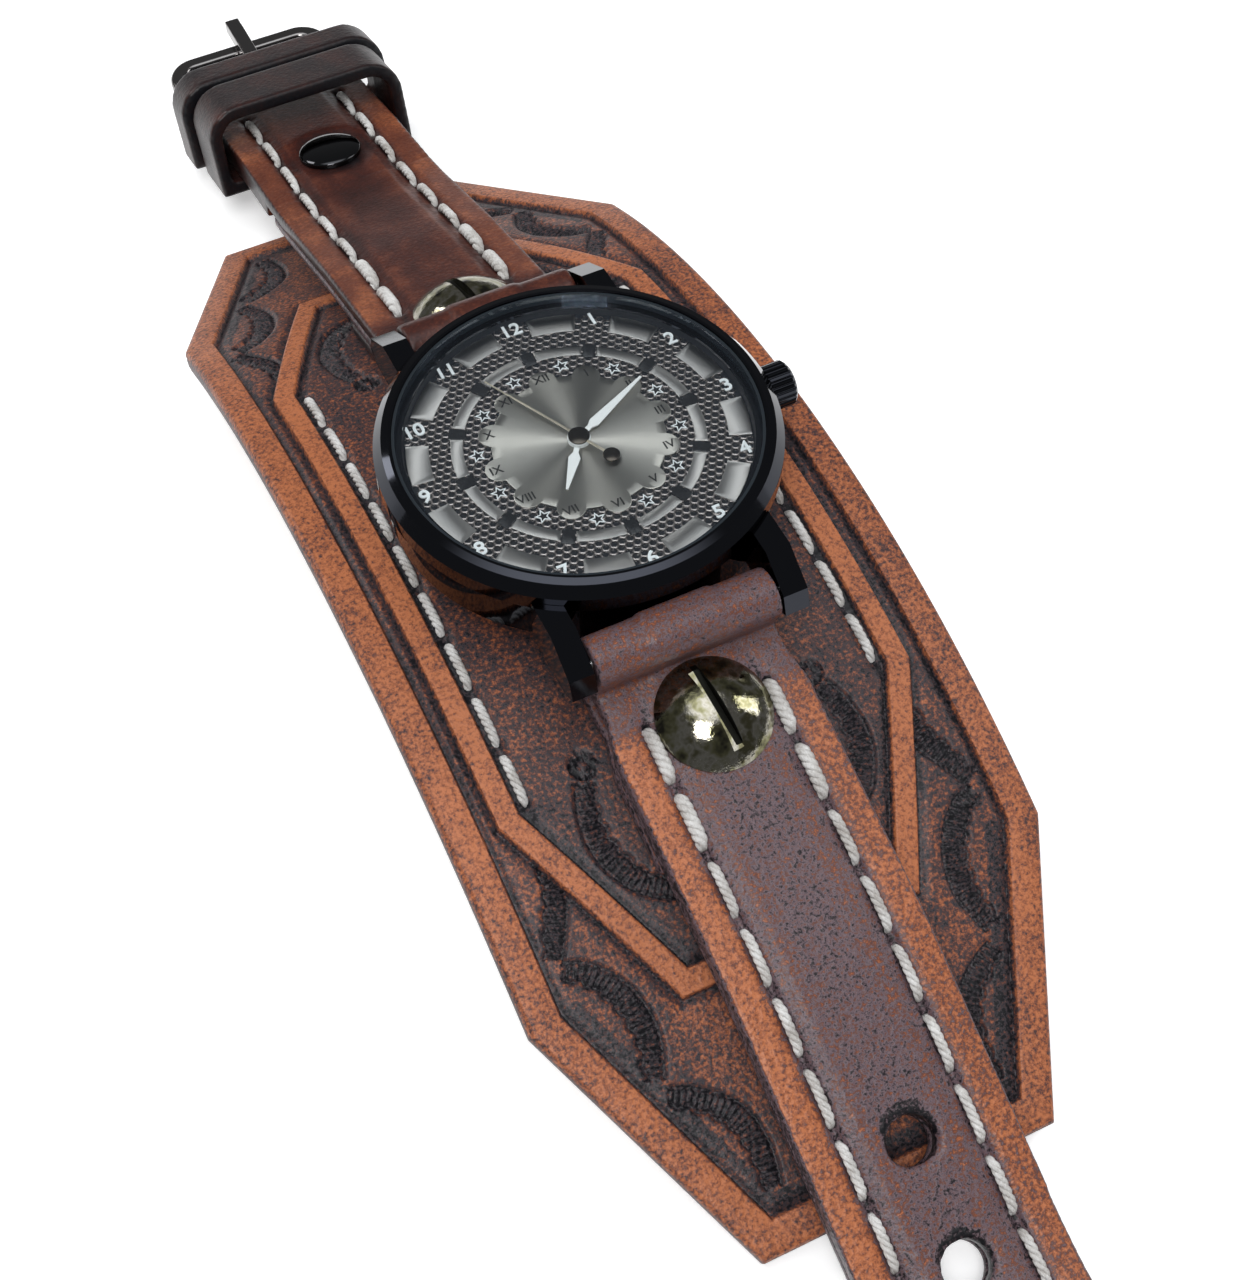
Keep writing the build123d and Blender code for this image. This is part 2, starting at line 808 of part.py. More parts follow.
with BuildPart() as lower_strap:
    extrude(layer(lower, lower_route, lower_radii, 0, strap_thickness), amount=wide, both=True)
    extrude(lower_flex_cut, amount=wide, both=True, mode=Mode.SUBTRACT)
    extrude(bar_loop(lower, lower_route), amount=wide, both=True)
    extrude(folded_end(lower)[0], amount=wide, both=True)
    extrude(lower_plan, amount=tall, mode=Mode.INTERSECT)
    add(lower_grooves, mode=Mode.SUBTRACT)
    drill(screw_seats[:1], screw_post_radius + screw_hole_gap)
    drill(hole_seats, hole_radius)
lower_strap.part.label = "lower_strap"
export_step(lower_strap.part, "parts/lower_strap.step")

with BuildPart() as lower_strap_lining:
    extrude(layer(lower, lower_route, lower_radii, strap_thickness + layer_gap, strap_total),
            amount=wide, both=True)
    extrude(lower_flex_cut, amount=wide, both=True, mode=Mode.SUBTRACT)
    extrude(lower_plan, amount=tall, mode=Mode.INTERSECT)
    extrude(stretch(lower, strap_lining_start, tail_tip_out), amount=tall, mode=Mode.INTERSECT)
    drill(screw_seats[:1], screw_post_radius + screw_hole_gap)
    drill(hole_seats, hole_radius)
lower_strap_lining.part.label = "lower_strap_lining"
export_step(lower_strap_lining.part, "parts/lower_strap_lining.step")

with BuildPart() as lower_strap_stitching:
    sew(row_seats(lower, lower_outline, lower_runs[:lower_row_stitches]))
lower_strap_stitching.part.label = "lower_strap_stitching"
export_step(lower_strap_stitching.part, "parts/lower_strap_stitching.step")

with BuildPart() as strap_tail:
    extrude(layer(lower, lower_route, lower_radii, 0, strap_thickness), amount=wide, both=True)
    extrude(lower_tail, amount=wide, both=True, mode=Mode.INTERSECT)
    extrude(lower_plan, amount=tall, mode=Mode.INTERSECT)
    add(lower_grooves, mode=Mode.SUBTRACT)
    drill(hole_seats, hole_radius)
strap_tail.part.label = "strap_tail"
export_step(strap_tail.part, "parts/strap_tail.step")

with BuildPart() as strap_tail_lining:
    extrude(layer(lower, lower_route, lower_radii, strap_thickness + layer_gap, strap_total),
            amount=wide, both=True)
    extrude(lower_tail, amount=wide, both=True, mode=Mode.INTERSECT)
    extrude(lower_plan, amount=tall, mode=Mode.INTERSECT)
    drill(hole_seats, hole_radius)
strap_tail_lining.part.label = "strap_tail_lining"
export_step(strap_tail_lining.part, "parts/strap_tail_lining.step")

with BuildPart() as strap_tail_stitching:
    sew(row_seats(lower, lower_outline, lower_runs[lower_row_stitches:]))
strap_tail_stitching.part.label = "strap_tail_stitching"
export_step(strap_tail_stitching.part, "parts/strap_tail_stitching.step")

with BuildPart() as upper_strap:
    extrude(layer(upper, upper_route, upper_radii, 0, strap_thickness), amount=wide, both=True)
    extrude(upper_flex_cut, amount=wide, both=True, mode=Mode.SUBTRACT)
    extrude(bar_loop(upper, upper_route), amount=wide, both=True)
    extrude(folded_end(upper)[0], amount=wide, both=True)
    extrude(upper_plan, amount=tall, mode=Mode.INTERSECT)
    add(upper_grooves, mode=Mode.SUBTRACT)
    drill(screw_seats[1:], screw_post_radius + screw_hole_gap)
upper_strap.part.label = "upper_strap"
export_step(upper_strap.part, "parts/upper_strap.step")

with BuildPart() as upper_strap_lining:
    extrude(layer(upper, upper_route, upper_radii, strap_thickness + layer_gap, strap_total),
            amount=wide, both=True)
    extrude(upper_plan, amount=tall, mode=Mode.INTERSECT)
    extrude(stretch(upper, strap_lining_start, upper_flex_out - upper_lining_clear),
            amount=tall, mode=Mode.INTERSECT)
    drill(screw_seats[1:], screw_post_radius + screw_hole_gap)
upper_strap_lining.part.label = "upper_strap_lining"
export_step(upper_strap_lining.part, "parts/upper_strap_lining.step")

with BuildPart() as upper_strap_stitching:
    sew(row_seats(upper, upper_outline, upper_runs[:upper_row_stitches]))
upper_strap_stitching.part.label = "upper_strap_stitching"
export_step(upper_strap_stitching.part, "parts/upper_strap_stitching.step")

# The buckle's end of the strap turns round its bar and folds back under, pinched by the rivet

bar_seat = Plane(origin=(0, watch_y + buckle_bar_out, buckle_bar_height),
                 x_dir=(0, cos(buckle_slope), -sin(buckle_slope)),
                 z_dir=(0, sin(buckle_slope), cos(buckle_slope)))


def bar_loop_end():
    """Side view of the loop round the buckle's bar."""
    middle = buckle_loop_radius - fold_thickness / 2
    under = buckle_loop_radius - strap_thickness - layer_gap - fold_thickness / 2
    corners = [(-buckle_pinch, middle), (middle, middle), (middle, -middle - buckle_loop_sag),
               (-buckle_pinch, under), (-buckle_pinch - fold_thickness, under)]
    places = [bar_seat.from_local_coords(Vector(x, 0, z)) for x, z in corners]
    return layer(upper, [(place.Y - watch_y, place.Z) for place in places],
                 [fold_thickness, fold_thickness, strap_thickness],
                 -fold_thickness / 2, fold_thickness / 2)


with BuildPart() as prong_slot:
    with Locations(bar_seat):
        Box(prong_slot_reach + buckle_far_reach, 2 * prong_slot_half_width, 2 * wide,
            align=(Align.MIN, Align.CENTER, Align.CENTER))
    with Locations(bar_seat):
        Box(2 * prong_slot_reach, 2 * prong_slot_half_width, 2 * wide)

rivet_seat = seat(upper, run_to(upper, rivet_out))

with BuildPart() as buckle_strap_end:
    extrude(layer(upper, upper_route, upper_radii, strap_thickness + layer_gap, fold_total),
            amount=wide, both=True)
    extrude(stretch(upper, upper_flex_out + upper_fold_clear, buckle_bar_out - buckle_pinch),
            amount=tall, mode=Mode.INTERSECT)
    extrude(layer(upper, upper_route, upper_radii, 0, strap_thickness), amount=wide, both=True)
    extrude(bar_loop_end(), amount=wide, both=True)
    extrude(upper_tail, amount=wide, both=True, mode=Mode.INTERSECT)
    extrude(upper_plan, amount=tall, mode=Mode.INTERSECT)
    add(upper_grooves, mode=Mode.SUBTRACT)
    add(prong_slot.part, mode=Mode.SUBTRACT)
    drill([rivet_seat], rivet_bore_radius + screw_hole_gap)
    for radius, height, side_up in ((rivet_radius, 0, Align.MIN),
                                    (rivet_back_radius, -fold_total, Align.MAX)):
        with Locations(rivet_seat * Pos(0, 0, height)):
            Cylinder(radius + fit_gap, rivet_press_depth, mode=Mode.SUBTRACT,
                     align=(Align.CENTER, Align.CENTER, side_up))
buckle_strap_end.part.label = "buckle_strap_end"
export_step(buckle_strap_end.part, "parts/buckle_strap_end.step")

with BuildPart() as buckle_end_stitching:
    sew(row_seats(upper, upper_outline, upper_runs[upper_row_stitches:]))
buckle_end_stitching.part.label = "buckle_end_stitching"
export_step(buckle_end_stitching.part, "parts/buckle_end_stitching.step")

with BuildPart() as fold_rivet:
    turned(rivet_seat, (0, -fold_total), (rivet_post_radius, -fold_total), (rivet_post_radius, 0),
           (rivet_radius, 0), (rivet_radius, rivet_rim_height), dome=rivet_dome_height)
fold_rivet.part.label = "fold_rivet"
export_step(fold_rivet.part, "parts/fold_rivet.step")

with BuildPart() as fold_rivet_back:
    turned(rivet_seat, (0, -fold_total - rivet_back_height),
           (rivet_back_radius, -fold_total - rivet_back_height),
           (rivet_back_radius, -fold_total - fit_gap), (0, -fold_total - fit_gap))
fold_rivet_back.part.label = "fold_rivet_back"
export_step(fold_rivet_back.part, "parts/fold_rivet_back.step")


def keeper(out, width, half_width, under_gap):
    """Leather loop round the strap, at a distance out, with room above for the strap's tail."""
    place = seat(upper, run_to(upper, out))
    across = Plane(origin=place.origin, x_dir=(1, 0, 0), z_dir=-place.x_dir)
    inner_height = keeper_room + fold_total + under_gap
    middle = keeper_room - inner_height / 2
    with BuildSketch(across) as ring:
        with Locations((0, middle)):
            Rectangle(2 * half_width, inner_height + 2 * keeper_thickness)
        corners = ring.vertices().group_by(Axis.Y)
        fillet(corners[-1], keeper_round)
        fillet(corners[0], keeper_under_round)
        offset(amount=-keeper_thickness, mode=Mode.SUBTRACT)
    extrude(ring.sketch, amount=width / 2, both=True)


with BuildPart() as free_keeper:
    keeper(free_keeper_out, free_keeper_width, free_keeper_half_width, keeper_gap)
free_keeper.part.label = "free_keeper"
export_step(free_keeper.part, "parts/free_keeper.step")

with BuildPart() as fixed_keeper:
    keeper(fixed_keeper_out, fixed_keeper_width, fixed_keeper_half_width, layer_gap)
fixed_keeper.part.label = "fixed_keeper"
export_step(fixed_keeper.part, "parts/fixed_keeper.step")

# Buckle. Its frame lies level, and its prong rests on the frame's far side

arm_x = buckle_half_width - buckle_section / 2
near_y = watch_y + buckle_bar_out - buckle_near_reach
far_y = watch_y + buckle_far_out
bar_place = Plane(origin=bar_seat.origin, x_dir=(0, 1, 0), z_dir=(1, 0, 0))

with BuildPart() as buckle_bar:
    with Locations(bar_place):
        Cylinder(buckle_bar_radius, 2 * buckle_half_width)
buckle_bar.part.label = "buckle_bar"
export_step(buckle_bar.part, "parts/buckle_bar.step")

with BuildPart() as buckle_frame:
    with BuildSketch(Plane.XY.offset(buckle_bar_height - buckle_section / 2)) as frame_plan:
        with BuildLine():
            FilletPolyline((-arm_x, near_y), (-arm_x, far_y), (arm_x, far_y), (arm_x, near_y),
                           radius=buckle_round)
        trace(line_width=buckle_section)
    extrude(amount=buckle_section)
    fillet(buckle_frame.edges().filter_by(Plane.XY), buckle_edge_round)
    with Locations(bar_place):
        Cylinder(buckle_bar_radius + buckle_running_gap, 2 * wide, mode=Mode.SUBTRACT)
buckle_frame.part.label = "buckle_frame"
export_step(buckle_frame.part, "parts/buckle_frame.step")

prong_over = buckle_far_out - buckle_bar_out
prong_rest = buckle_section / 2 + prong_rest_gap + prong_width / 2

with BuildPart() as buckle_prong:
    with BuildSketch(bar_place) as prong_side:
        with BuildLine():
            FilletPolyline((0, 0), (prong_over / 3, prong_rest), (prong_over, prong_rest),
                           (prong_over + prong_overhang, prong_width), radius=prong_width)
        trace(line_width=prong_width)
        Circle(prong_eye_radius)
        Circle(buckle_bar_radius + buckle_running_gap, mode=Mode.SUBTRACT)
    extrude(amount=prong_width / 2, both=True)
buckle_prong.part.label = "buckle_prong"
export_step(buckle_prong.part, "parts/buckle_prong.step")

# Two-part screws through the strap and the cuff

screw_back_depth = clamped_total + cuff_total + screw_tilt_gap

with BuildPart() as strap_screws:
    for place in screw_seats:
        turned(place, (0, -screw_thread_length), (screw_thread_radius, -screw_thread_length),
               (screw_thread_radius, 0), (screw_head_radius, 0),
               (screw_head_radius, screw_rim_height), dome=screw_dome_height)
        top = Pos(0, 0, screw_rim_height + screw_dome_height) * Rotation(0, 0, screw_slot_turn)
        with Locations(place * top):
            Box(4 * screw_head_radius, screw_slot_width, 2 * screw_slot_depth,
                mode=Mode.SUBTRACT)
strap_screws.part.label = "strap_screws"
export_step(strap_screws.part, "parts/strap_screws.step")

with BuildPart() as strap_screw_backs:
    for place in screw_seats:
        bore = screw_thread_radius + fit_gap
        bore_end = -screw_thread_length - fit_gap
        turned(place, (0, -screw_back_depth - screw_back_height),
               (screw_back_radius, -screw_back_depth - screw_back_height),
               (screw_back_radius, -screw_back_depth), (screw_post_radius, -screw_back_depth),
               (screw_post_radius, -fit_gap), (bore, -fit_gap), (bore, bore_end), (0, bore_end))
strap_screw_backs.part.label = "strap_screw_backs"
export_step(strap_screw_backs.part, "parts/strap_screw_backs.step")

# Watch case

dial_seat_depth = dial_depth + dial_thickness + fit_gap
case_top_depth = bezel_depth + fit_gap
ledge_depth = crystal_bottom_depth + fit_gap
rehaut_depth = ledge_depth + ledge_thickness + fit_gap
back_seat_depth = back_recess_depth + fit_gap

with BuildPart() as case_middle:
    with BuildSketch(Plane(origin=watch.origin, x_dir=(0, 1, 0), z_dir=(1, 0, 0))) as lug_view:
        for side in (lower, upper):
            with BuildLine():
                outline = [(lug_root, lug_top_depth), (lug_shoulder, lug_top_depth),
                           (lug_face, lug_face_depth), (lug_tip, lug_tip_depth),
                           (lug_under, lug_under_depth), (lug_root, lug_under_depth)]
                Polyline(*[(side * out, -depth) for out, depth in outline], close=True)
            make_face()
    extrude(amount=lug_inner_x + lug_width, both=True)
    with Locations(watch):
        Box(2 * lug_inner_x, tall, tall, mode=Mode.SUBTRACT)
        Cylinder(case_bore_radius, tall, mode=Mode.SUBTRACT)
    disc((0, 0), bezel_radius + fit_gap, -overrun, case_top_depth + overrun, Mode.SUBTRACT)
    turned(watch, (case_bore_radius, -dial_seat_depth), (case_lip_radius, -dial_seat_depth),
           (case_lip_radius, -case_top_depth), (case_radius, -case_top_depth),
           (case_radius, -case_depth), (back_recess_radius, -case_depth),
           (back_recess_radius, -back_recess_depth), (case_bore_radius, -back_recess_depth))
    disc((0, 0), back_recess_radius, back_recess_depth, tall, Mode.SUBTRACT)
    stem_line = Plane(origin=watch.origin - Vector(0, 0, stem_depth), z_dir=(1, 0, 0))
    with Locations(stem_line):
        Cylinder(stem_radius + stem_gap, wide, mode=Mode.SUBTRACT,
                 align=(Align.CENTER, Align.CENTER, Align.MIN))
    for side in (lower, upper):
        with Locations(Plane(origin=(0, watch_y + side * bar_out, bar_height), z_dir=(1, 0, 0))):
            Cylinder(bar_pin_radius + bar_pin_gap, 2 * (lug_inner_x + lug_width / 2),
                     mode=Mode.SUBTRACT)
case_middle.part.label = "case_middle"
export_step(case_middle.part, "parts/case_middle.step")

with BuildPart() as bezel:
    turned(watch, (rim_radius, -fit_gap), (bezel_top_radius, 0),
           (bezel_slope_radius, -bezel_slope_depth), (bezel_radius, -bezel_shoulder_depth),
           (bezel_radius, -bezel_wall_depth), (bezel_foot_radius, -bezel_depth),
           (bezel_bore_radius, -bezel_depth), (bezel_bore_radius, -ledge_depth - ledge_thickness),
           (ledge_radius, -ledge_depth - ledge_thickness), (ledge_radius, -ledge_depth),
           (rim_radius, -ledge_depth))
bezel.part.label = "bezel"
export_step(bezel.part, "parts/bezel.step")

with BuildPart() as crystal:
    turned(watch, (0, -crystal_bottom_depth), (crystal_radius, -crystal_bottom_depth),
           (crystal_radius, -crystal_edge_depth), dome=crystal_rise)
crystal.part.label = "crystal"
export_step(crystal.part, "parts/crystal.step")

with BuildPart() as crystal_gasket:
    gasket_inner = crystal_radius + fit_gap
    gasket_outer = rim_radius - fit_gap
    turned(watch, (gasket_inner, -crystal_bottom_depth), (gasket_outer, -crystal_bottom_depth),
           (gasket_outer, -crystal_edge_depth), (gasket_inner, -crystal_edge_depth))
crystal_gasket.part.label = "crystal_gasket"
export_step(crystal_gasket.part, "parts/crystal_gasket.step")

with BuildPart() as rehaut:
    rehaut_outer = bezel_bore_radius - fit_gap
    rehaut_bottom = dial_depth - fit_gap
    turned(watch, (rehaut_top_radius, -rehaut_depth), (rehaut_outer, -rehaut_depth),
           (rehaut_outer, -rehaut_bottom), (rehaut_bottom_radius, -rehaut_bottom))
rehaut.part.label = "rehaut"
export_step(rehaut.part, "parts/rehaut.step")

with BuildPart() as dial:
    disc((0, 0), dial_radius, dial_depth, dial_thickness)
    disc((0, 0), dial_hole_radius, dial_depth, dial_thickness, Mode.SUBTRACT)
dial.part.label = "dial"
export_step(dial.part, "parts/dial.step")

with BuildPart() as case_back:
    turned(watch, (0, -back_seat_depth), (back_rim_radius, -back_seat_depth),
           (back_rim_radius, -back_rim_depth), (back_face_radius, -back_depth),
           (0, -back_depth))
case_back.part.label = "case_back"
export_step(case_back.part, "parts/case_back.step")

with BuildPart() as case_back_gasket:
    disc((0, 0), back_gasket_radius, back_recess_depth - back_gasket_height, back_gasket_height)
    disc((0, 0), back_gasket_radius - back_gasket_width, back_recess_depth - back_gasket_height,
         back_gasket_height, Mode.SUBTRACT)
case_back_gasket.part.label = "case_back_gasket"
export_step(case_back_gasket.part, "parts/case_back_gasket.step")

# Hands


def blade_hand(angle, length, width, depth, hole):
    """Hand with a round hub, a narrow neck and a tapering blade."""
    with BuildSketch(watch * Pos(0, 0, -depth) * Rotation(0, 0, -angle)) as outline:
        Circle(hand_hub_radius)
        with BuildLine():
            Polyline((-hand_neck_width / 2, 0), (-hand_neck_width / 2, blade_start),
                     (-width / 2, blade_start + blade_shoulder),
                     (-needle_width / 2, length), (needle_width / 2, length),
                     (width / 2, blade_start + blade_shoulder),
                     (hand_neck_width / 2, blade_start), (hand_neck_width / 2, 0), close=True)
        make_face()
        Circle(hole, mode=Mode.SUBTRACT)
    extrude(outline.sketch, amount=-hand_thickness)


with BuildPart() as hour_hand:
    blade_hand(hour_hand_angle, hour_hand_length, hour_blade_width, hour_hand_depth,
               hour_tube_radius + fit_gap / 2)
hour_hand.part.label = "hour_hand"
export_step(hour_hand.part, "parts/hour_hand.step")

with BuildPart() as minute_hand:
    blade_hand(minute_hand_angle, minute_hand_length, minute_blade_width, minute_hand_depth,
               cannon_radius + fit_gap / 2)
minute_hand.part.label = "minute_hand"
export_step(minute_hand.part, "parts/minute_hand.step")

with BuildPart() as seconds_hand:
    seconds_plane = watch * Pos(0, 0, -seconds_hand_depth) * Rotation(0, 0, -seconds_hand_angle)
    with BuildSketch(seconds_plane) as seconds_outline:
        Circle(needle_hub_radius)
        with Locations((0, (seconds_hand_length - needle_tail) / 2)):
            Rectangle(needle_width, seconds_hand_length + needle_tail)
        with Locations((0, -needle_tail)):
            Circle(needle_disc_radius)
        Circle(arbor_radius + fit_gap / 2, mode=Mode.SUBTRACT)
    extrude(amount=-hand_thickness)
seconds_hand.part.label = "seconds_hand"
export_step(seconds_hand.part, "parts/seconds_hand.step")

# Movement


def polar(distance, direction, centre=(0, 0)):
    """Place at a distance and direction from another place."""
    turn = radians(direction)
    return (centre[0] + distance * cos(turn), centre[1] + distance * sin(turn))


motion_spot = polar(motion_distance, motion_direction)
third_spot = polar(third_distance, third_direction)
fifth_spot = polar(fifth_distance, fifth_direction)
rotor_spot = polar(rotor_distance, rotor_direction, fifth_spot)
pivot_spots = [third_spot, fifth_spot, rotor_spot]
pillar_spots = [polar(pillar_circle, direction) for direction in pillar_directions]
plate_bottom = plate_depth + plate_thickness
bridge_bottom = bridge_depth + bridge_thickness
pivot_top = plate_bottom - pivot_depth
pivot_bottom = bridge_depth + pivot_depth
plate_rim_depth = dial_seat_depth


def holes(spots, radius):
    """Holes through a plate of the movement."""
    for spot in spots:
        disc(spot, radius, 0, tall, Mode.SUBTRACT)


def arbor(spot):
    """Arbor of a wheel, with its ends in the plate and the bridge."""
    disc(spot, pivot_radius, pivot_top, pivot_bottom - pivot_top)


def wheel(spot, radius, depth):
    """Wheel or pinion as its pitch disc, let back a little from the one it meshes with."""
    disc(spot, radius - tooth_gap, depth, wheel_thickness)


with BuildPart() as movement_holder:
    holder_top = dial_seat_depth
    disc((0, 0), holder_radius, holder_top, back_recess_depth - holder_top)
    disc((0, 0), plate_radius + fit_gap, 0, tall, Mode.SUBTRACT)
    plate((holder_radius, 0), 2 * (holder_radius - plate_radius) + overrun, holder_channel,
          stem_depth - holder_channel / 2, holder_channel, Mode.SUBTRACT)
movement_holder.part.label = "movement_holder"
export_step(movement_holder.part, "parts/movement_holder.step")

with BuildPart() as main_plate:
    disc((0, 0), plate_radius, plate_rim_depth, plate_bottom - plate_rim_depth)
    disc((0, 0), plate_radius - plate_rim_width, 0, plate_depth, Mode.SUBTRACT)
    disc(motion_spot, motion_post_radius, hour_wheel_depth, plate_bottom - hour_wheel_depth)
    holes([(0, 0)], cannon_radius + pivot_gap)
    for spot in pivot_spots:
        disc(spot, pivot_radius + pivot_gap, pivot_top - pivot_gap, tall, Mode.SUBTRACT)
main_plate.part.label = "main_plate"
export_step(main_plate.part, "parts/main_plate.step")

with BuildPart() as train_bridge:
    disc((0, 0), bridge_radius, bridge_depth, bridge_thickness)
    holes([(battery_x, battery_y)], battery_radius + battery_gap)
    for spot in pillar_spots:
        disc(spot, pillar_radius, plate_bottom, bridge_bottom - plate_bottom)
    holes(pivot_spots, pivot_radius + pivot_gap)
    holes([(0, 0)], arbor_radius + pivot_gap)
train_bridge.part.label = "train_bridge"
export_step(train_bridge.part, "parts/train_bridge.step")

with BuildPart() as battery:
    disc((battery_x, battery_y), battery_radius, battery_depth + battery_cap_height,
         battery_height)
    disc((battery_x, battery_y), battery_cap_radius, battery_depth, battery_cap_height)
battery.part.label = "battery"
export_step(battery.part, "parts/battery.step")

with BuildPart() as coil:
    with Locations(watch * Pos(coil_x, coil_y, -coil_depth) * Rotation(0, 90, 0)):
        Cylinder(coil_radius, coil_length)
    for end in (-1, 1):
        cheek_x = coil_x + end * (coil_length + coil_cheek_thickness) / 2
        with Locations(watch * Pos(cheek_x, coil_y, -coil_depth) * Rotation(0, 90, 0)):
            Cylinder(coil_cheek_radius, coil_cheek_thickness)
coil.part.label = "coil"
export_step(coil.part, "parts/coil.step")

with BuildPart() as circuit_board:
    plate((board_x, board_y), board_width, board_length, board_depth, board_thickness)
circuit_board.part.label = "circuit_board"
export_step(circuit_board.part, "parts/circuit_board.step")

with BuildPart() as stator:
    plate((stator_x, stator_y), stator_width, stator_length, stator_depth, stator_thickness)
    holes([rotor_spot], stator_bore)
stator.part.label = "stator"
export_step(stator.part, "parts/stator.step")

with BuildPart() as rotor:
    arbor(rotor_spot)
    disc(rotor_spot, rotor_magnet_radius, rotor_magnet_depth, rotor_magnet_height)
    wheel(rotor_spot, rotor_distance * rotor_pinion_share, middle_wheel_depth)
rotor.part.label = "rotor"
export_step(rotor.part, "parts/rotor.step")

with BuildPart() as fifth_wheel:
    arbor(fifth_spot)
    wheel(fifth_spot, rotor_distance * (1 - rotor_pinion_share), middle_wheel_depth)
    wheel(fifth_spot, fifth_distance * fifth_pinion_share, fourth_wheel_depth)
fifth_wheel.part.label = "fifth_wheel"
export_step(fifth_wheel.part, "parts/fifth_wheel.step")

with BuildPart() as fourth_wheel:
    disc((0, 0), arbor_radius, seconds_hand_depth, pivot_bottom - seconds_hand_depth)
    wheel((0, 0), fifth_distance * (1 - fifth_pinion_share), fourth_wheel_depth)
    wheel((0, 0), third_distance * fourth_pinion_share, middle_wheel_depth)
fourth_wheel.part.label = "fourth_wheel"
export_step(fourth_wheel.part, "parts/fourth_wheel.step")

with BuildPart() as third_wheel:
    arbor(third_spot)
    wheel(third_spot, third_distance * (1 - fourth_pinion_share), middle_wheel_depth)
    wheel(third_spot, third_distance * third_pinion_share, centre_wheel_depth)
third_wheel.part.label = "third_wheel"
export_step(third_wheel.part, "parts/third_wheel.step")

with BuildPart() as centre_wheel:
    wheel((0, 0), third_distance * (1 - third_pinion_share), centre_wheel_depth)
    holes([(0, 0)], cannon_radius + fit_gap / 2)
centre_wheel.part.label = "centre_wheel"
export_step(centre_wheel.part, "parts/centre_wheel.step")

with BuildPart() as cannon_pinion:
    disc((0, 0), cannon_radius, minute_hand_depth,
         centre_wheel_depth + wheel_thickness - minute_hand_depth)
    wheel((0, 0), motion_distance * cannon_leaf_share, cannon_leaf_depth)
    holes([(0, 0)], cannon_bore)
cannon_pinion.part.label = "cannon_pinion"
export_step(cannon_pinion.part, "parts/cannon_pinion.step")

with BuildPart() as minute_wheel:
    wheel(motion_spot, motion_distance * (1 - cannon_leaf_share), cannon_leaf_depth)
    disc(motion_spot, motion_distance * motion_pinion_share - tooth_gap, hour_wheel_depth,
         cannon_leaf_depth - hour_wheel_depth)
    holes([motion_spot], motion_post_radius + pivot_gap)
minute_wheel.part.label = "minute_wheel"
export_step(minute_wheel.part, "parts/minute_wheel.step")

with BuildPart() as hour_wheel:
    wheel((0, 0), motion_distance * (1 - motion_pinion_share), hour_wheel_depth)
    disc((0, 0), hour_tube_radius, hour_hand_depth, hour_wheel_depth - hour_hand_depth)
    holes([(0, 0)], hour_tube_bore)
hour_wheel.part.label = "hour_wheel"
export_step(hour_wheel.part, "parts/hour_wheel.step")

# Winding stem, its lever and the crown


def along_stem(start, length, radius, mode=Mode.ADD):
    """Round length of the stem, from a distance out from the watch's axis."""
    with Locations(Plane(origin=stem_line.origin + Vector(start, 0, 0), z_dir=(1, 0, 0))):
        Cylinder(radius, length, align=(Align.CENTER, Align.CENTER, Align.MIN), mode=mode)


crown_bore_end = crown_start + crown_length / 2

with BuildPart() as stem:
    along_stem(stem_inner_end, crown_bore_end - stem_inner_end, stem_radius)
    groove_start = stem_groove_at - stem_groove_width / 2
    along_stem(groove_start, stem_groove_width, stem_radius, Mode.SUBTRACT)
    along_stem(groove_start, stem_groove_width, stem_groove_radius)
stem.part.label = "stem"
export_step(stem.part, "parts/stem.step")

with BuildPart() as setting_lever:
    plate((stem_groove_at, 0), lever_width, lever_length, lever_depth, lever_thickness)
    disc((stem_groove_at, 0), lever_pin_radius, lever_depth,
         stem_depth - stem_groove_radius - fit_gap - lever_depth)
setting_lever.part.label = "setting_lever"
export_step(setting_lever.part, "parts/setting_lever.step")

with BuildPart() as crown:
    along_stem(crown_start, crown_length, crown_radius)
    chamfer(crown.edges().filter_by(GeomType.CIRCLE), crown_edge)
    along_stem(crown_start - crown_neck_length, crown_neck_length, crown_neck_radius)
    flute_place = Plane(origin=stem_line.origin + Vector(crown_start, 0, 0), z_dir=(1, 0, 0))
    with Locations(flute_place):
        with PolarLocations(crown_radius, crown_flutes):
            Cylinder(crown_flute_radius, crown_length, mode=Mode.SUBTRACT,
                     align=(Align.CENTER, Align.CENTER, Align.MIN))
    along_stem(0, crown_bore_end + fit_gap, stem_radius + fit_gap / 2, Mode.SUBTRACT)
crown.part.label = "crown"
export_step(crown.part, "parts/crown.step")

# Spring bars: a tube with crimped ends, a coil spring and a sliding pin at each end

pin_tip = lug_inner_x + bar_pin_reach
crimp_start = bar_tube_half_length - bar_crimp_length
flange_end = crimp_start - fit_gap
spring_half_length = flange_end - bar_flange_length - bar_pin_travel - bar_pin_gap
bar_lines = [Plane(origin=(0, watch_y + side * bar_out, bar_height), z_dir=(1, 0, 0))
             for side in (lower, upper)]

with BuildPart() as spring_bar_tubes:
    with Locations(*bar_lines):
        Cylinder(bar_tube_radius, 2 * bar_tube_half_length)
        Cylinder(bar_tube_bore, 2 * crimp_start, mode=Mode.SUBTRACT)
        Cylinder(bar_pin_radius + bar_pin_gap, 2 * wide, mode=Mode.SUBTRACT)
spring_bar_tubes.part.label = "spring_bar_tubes"
export_step(spring_bar_tubes.part, "parts/spring_bar_tubes.step")

with BuildPart() as bar_spring:
    with BuildLine():
        coil_line = Helix(bar_spring_pitch, 2 * spring_half_length - 2 * bar_spring_wire_radius,
                          bar_spring_radius)
    with BuildSketch(Plane(origin=coil_line @ 0, z_dir=coil_line % 0)):
        Circle(bar_spring_wire_radius)
    sweep()

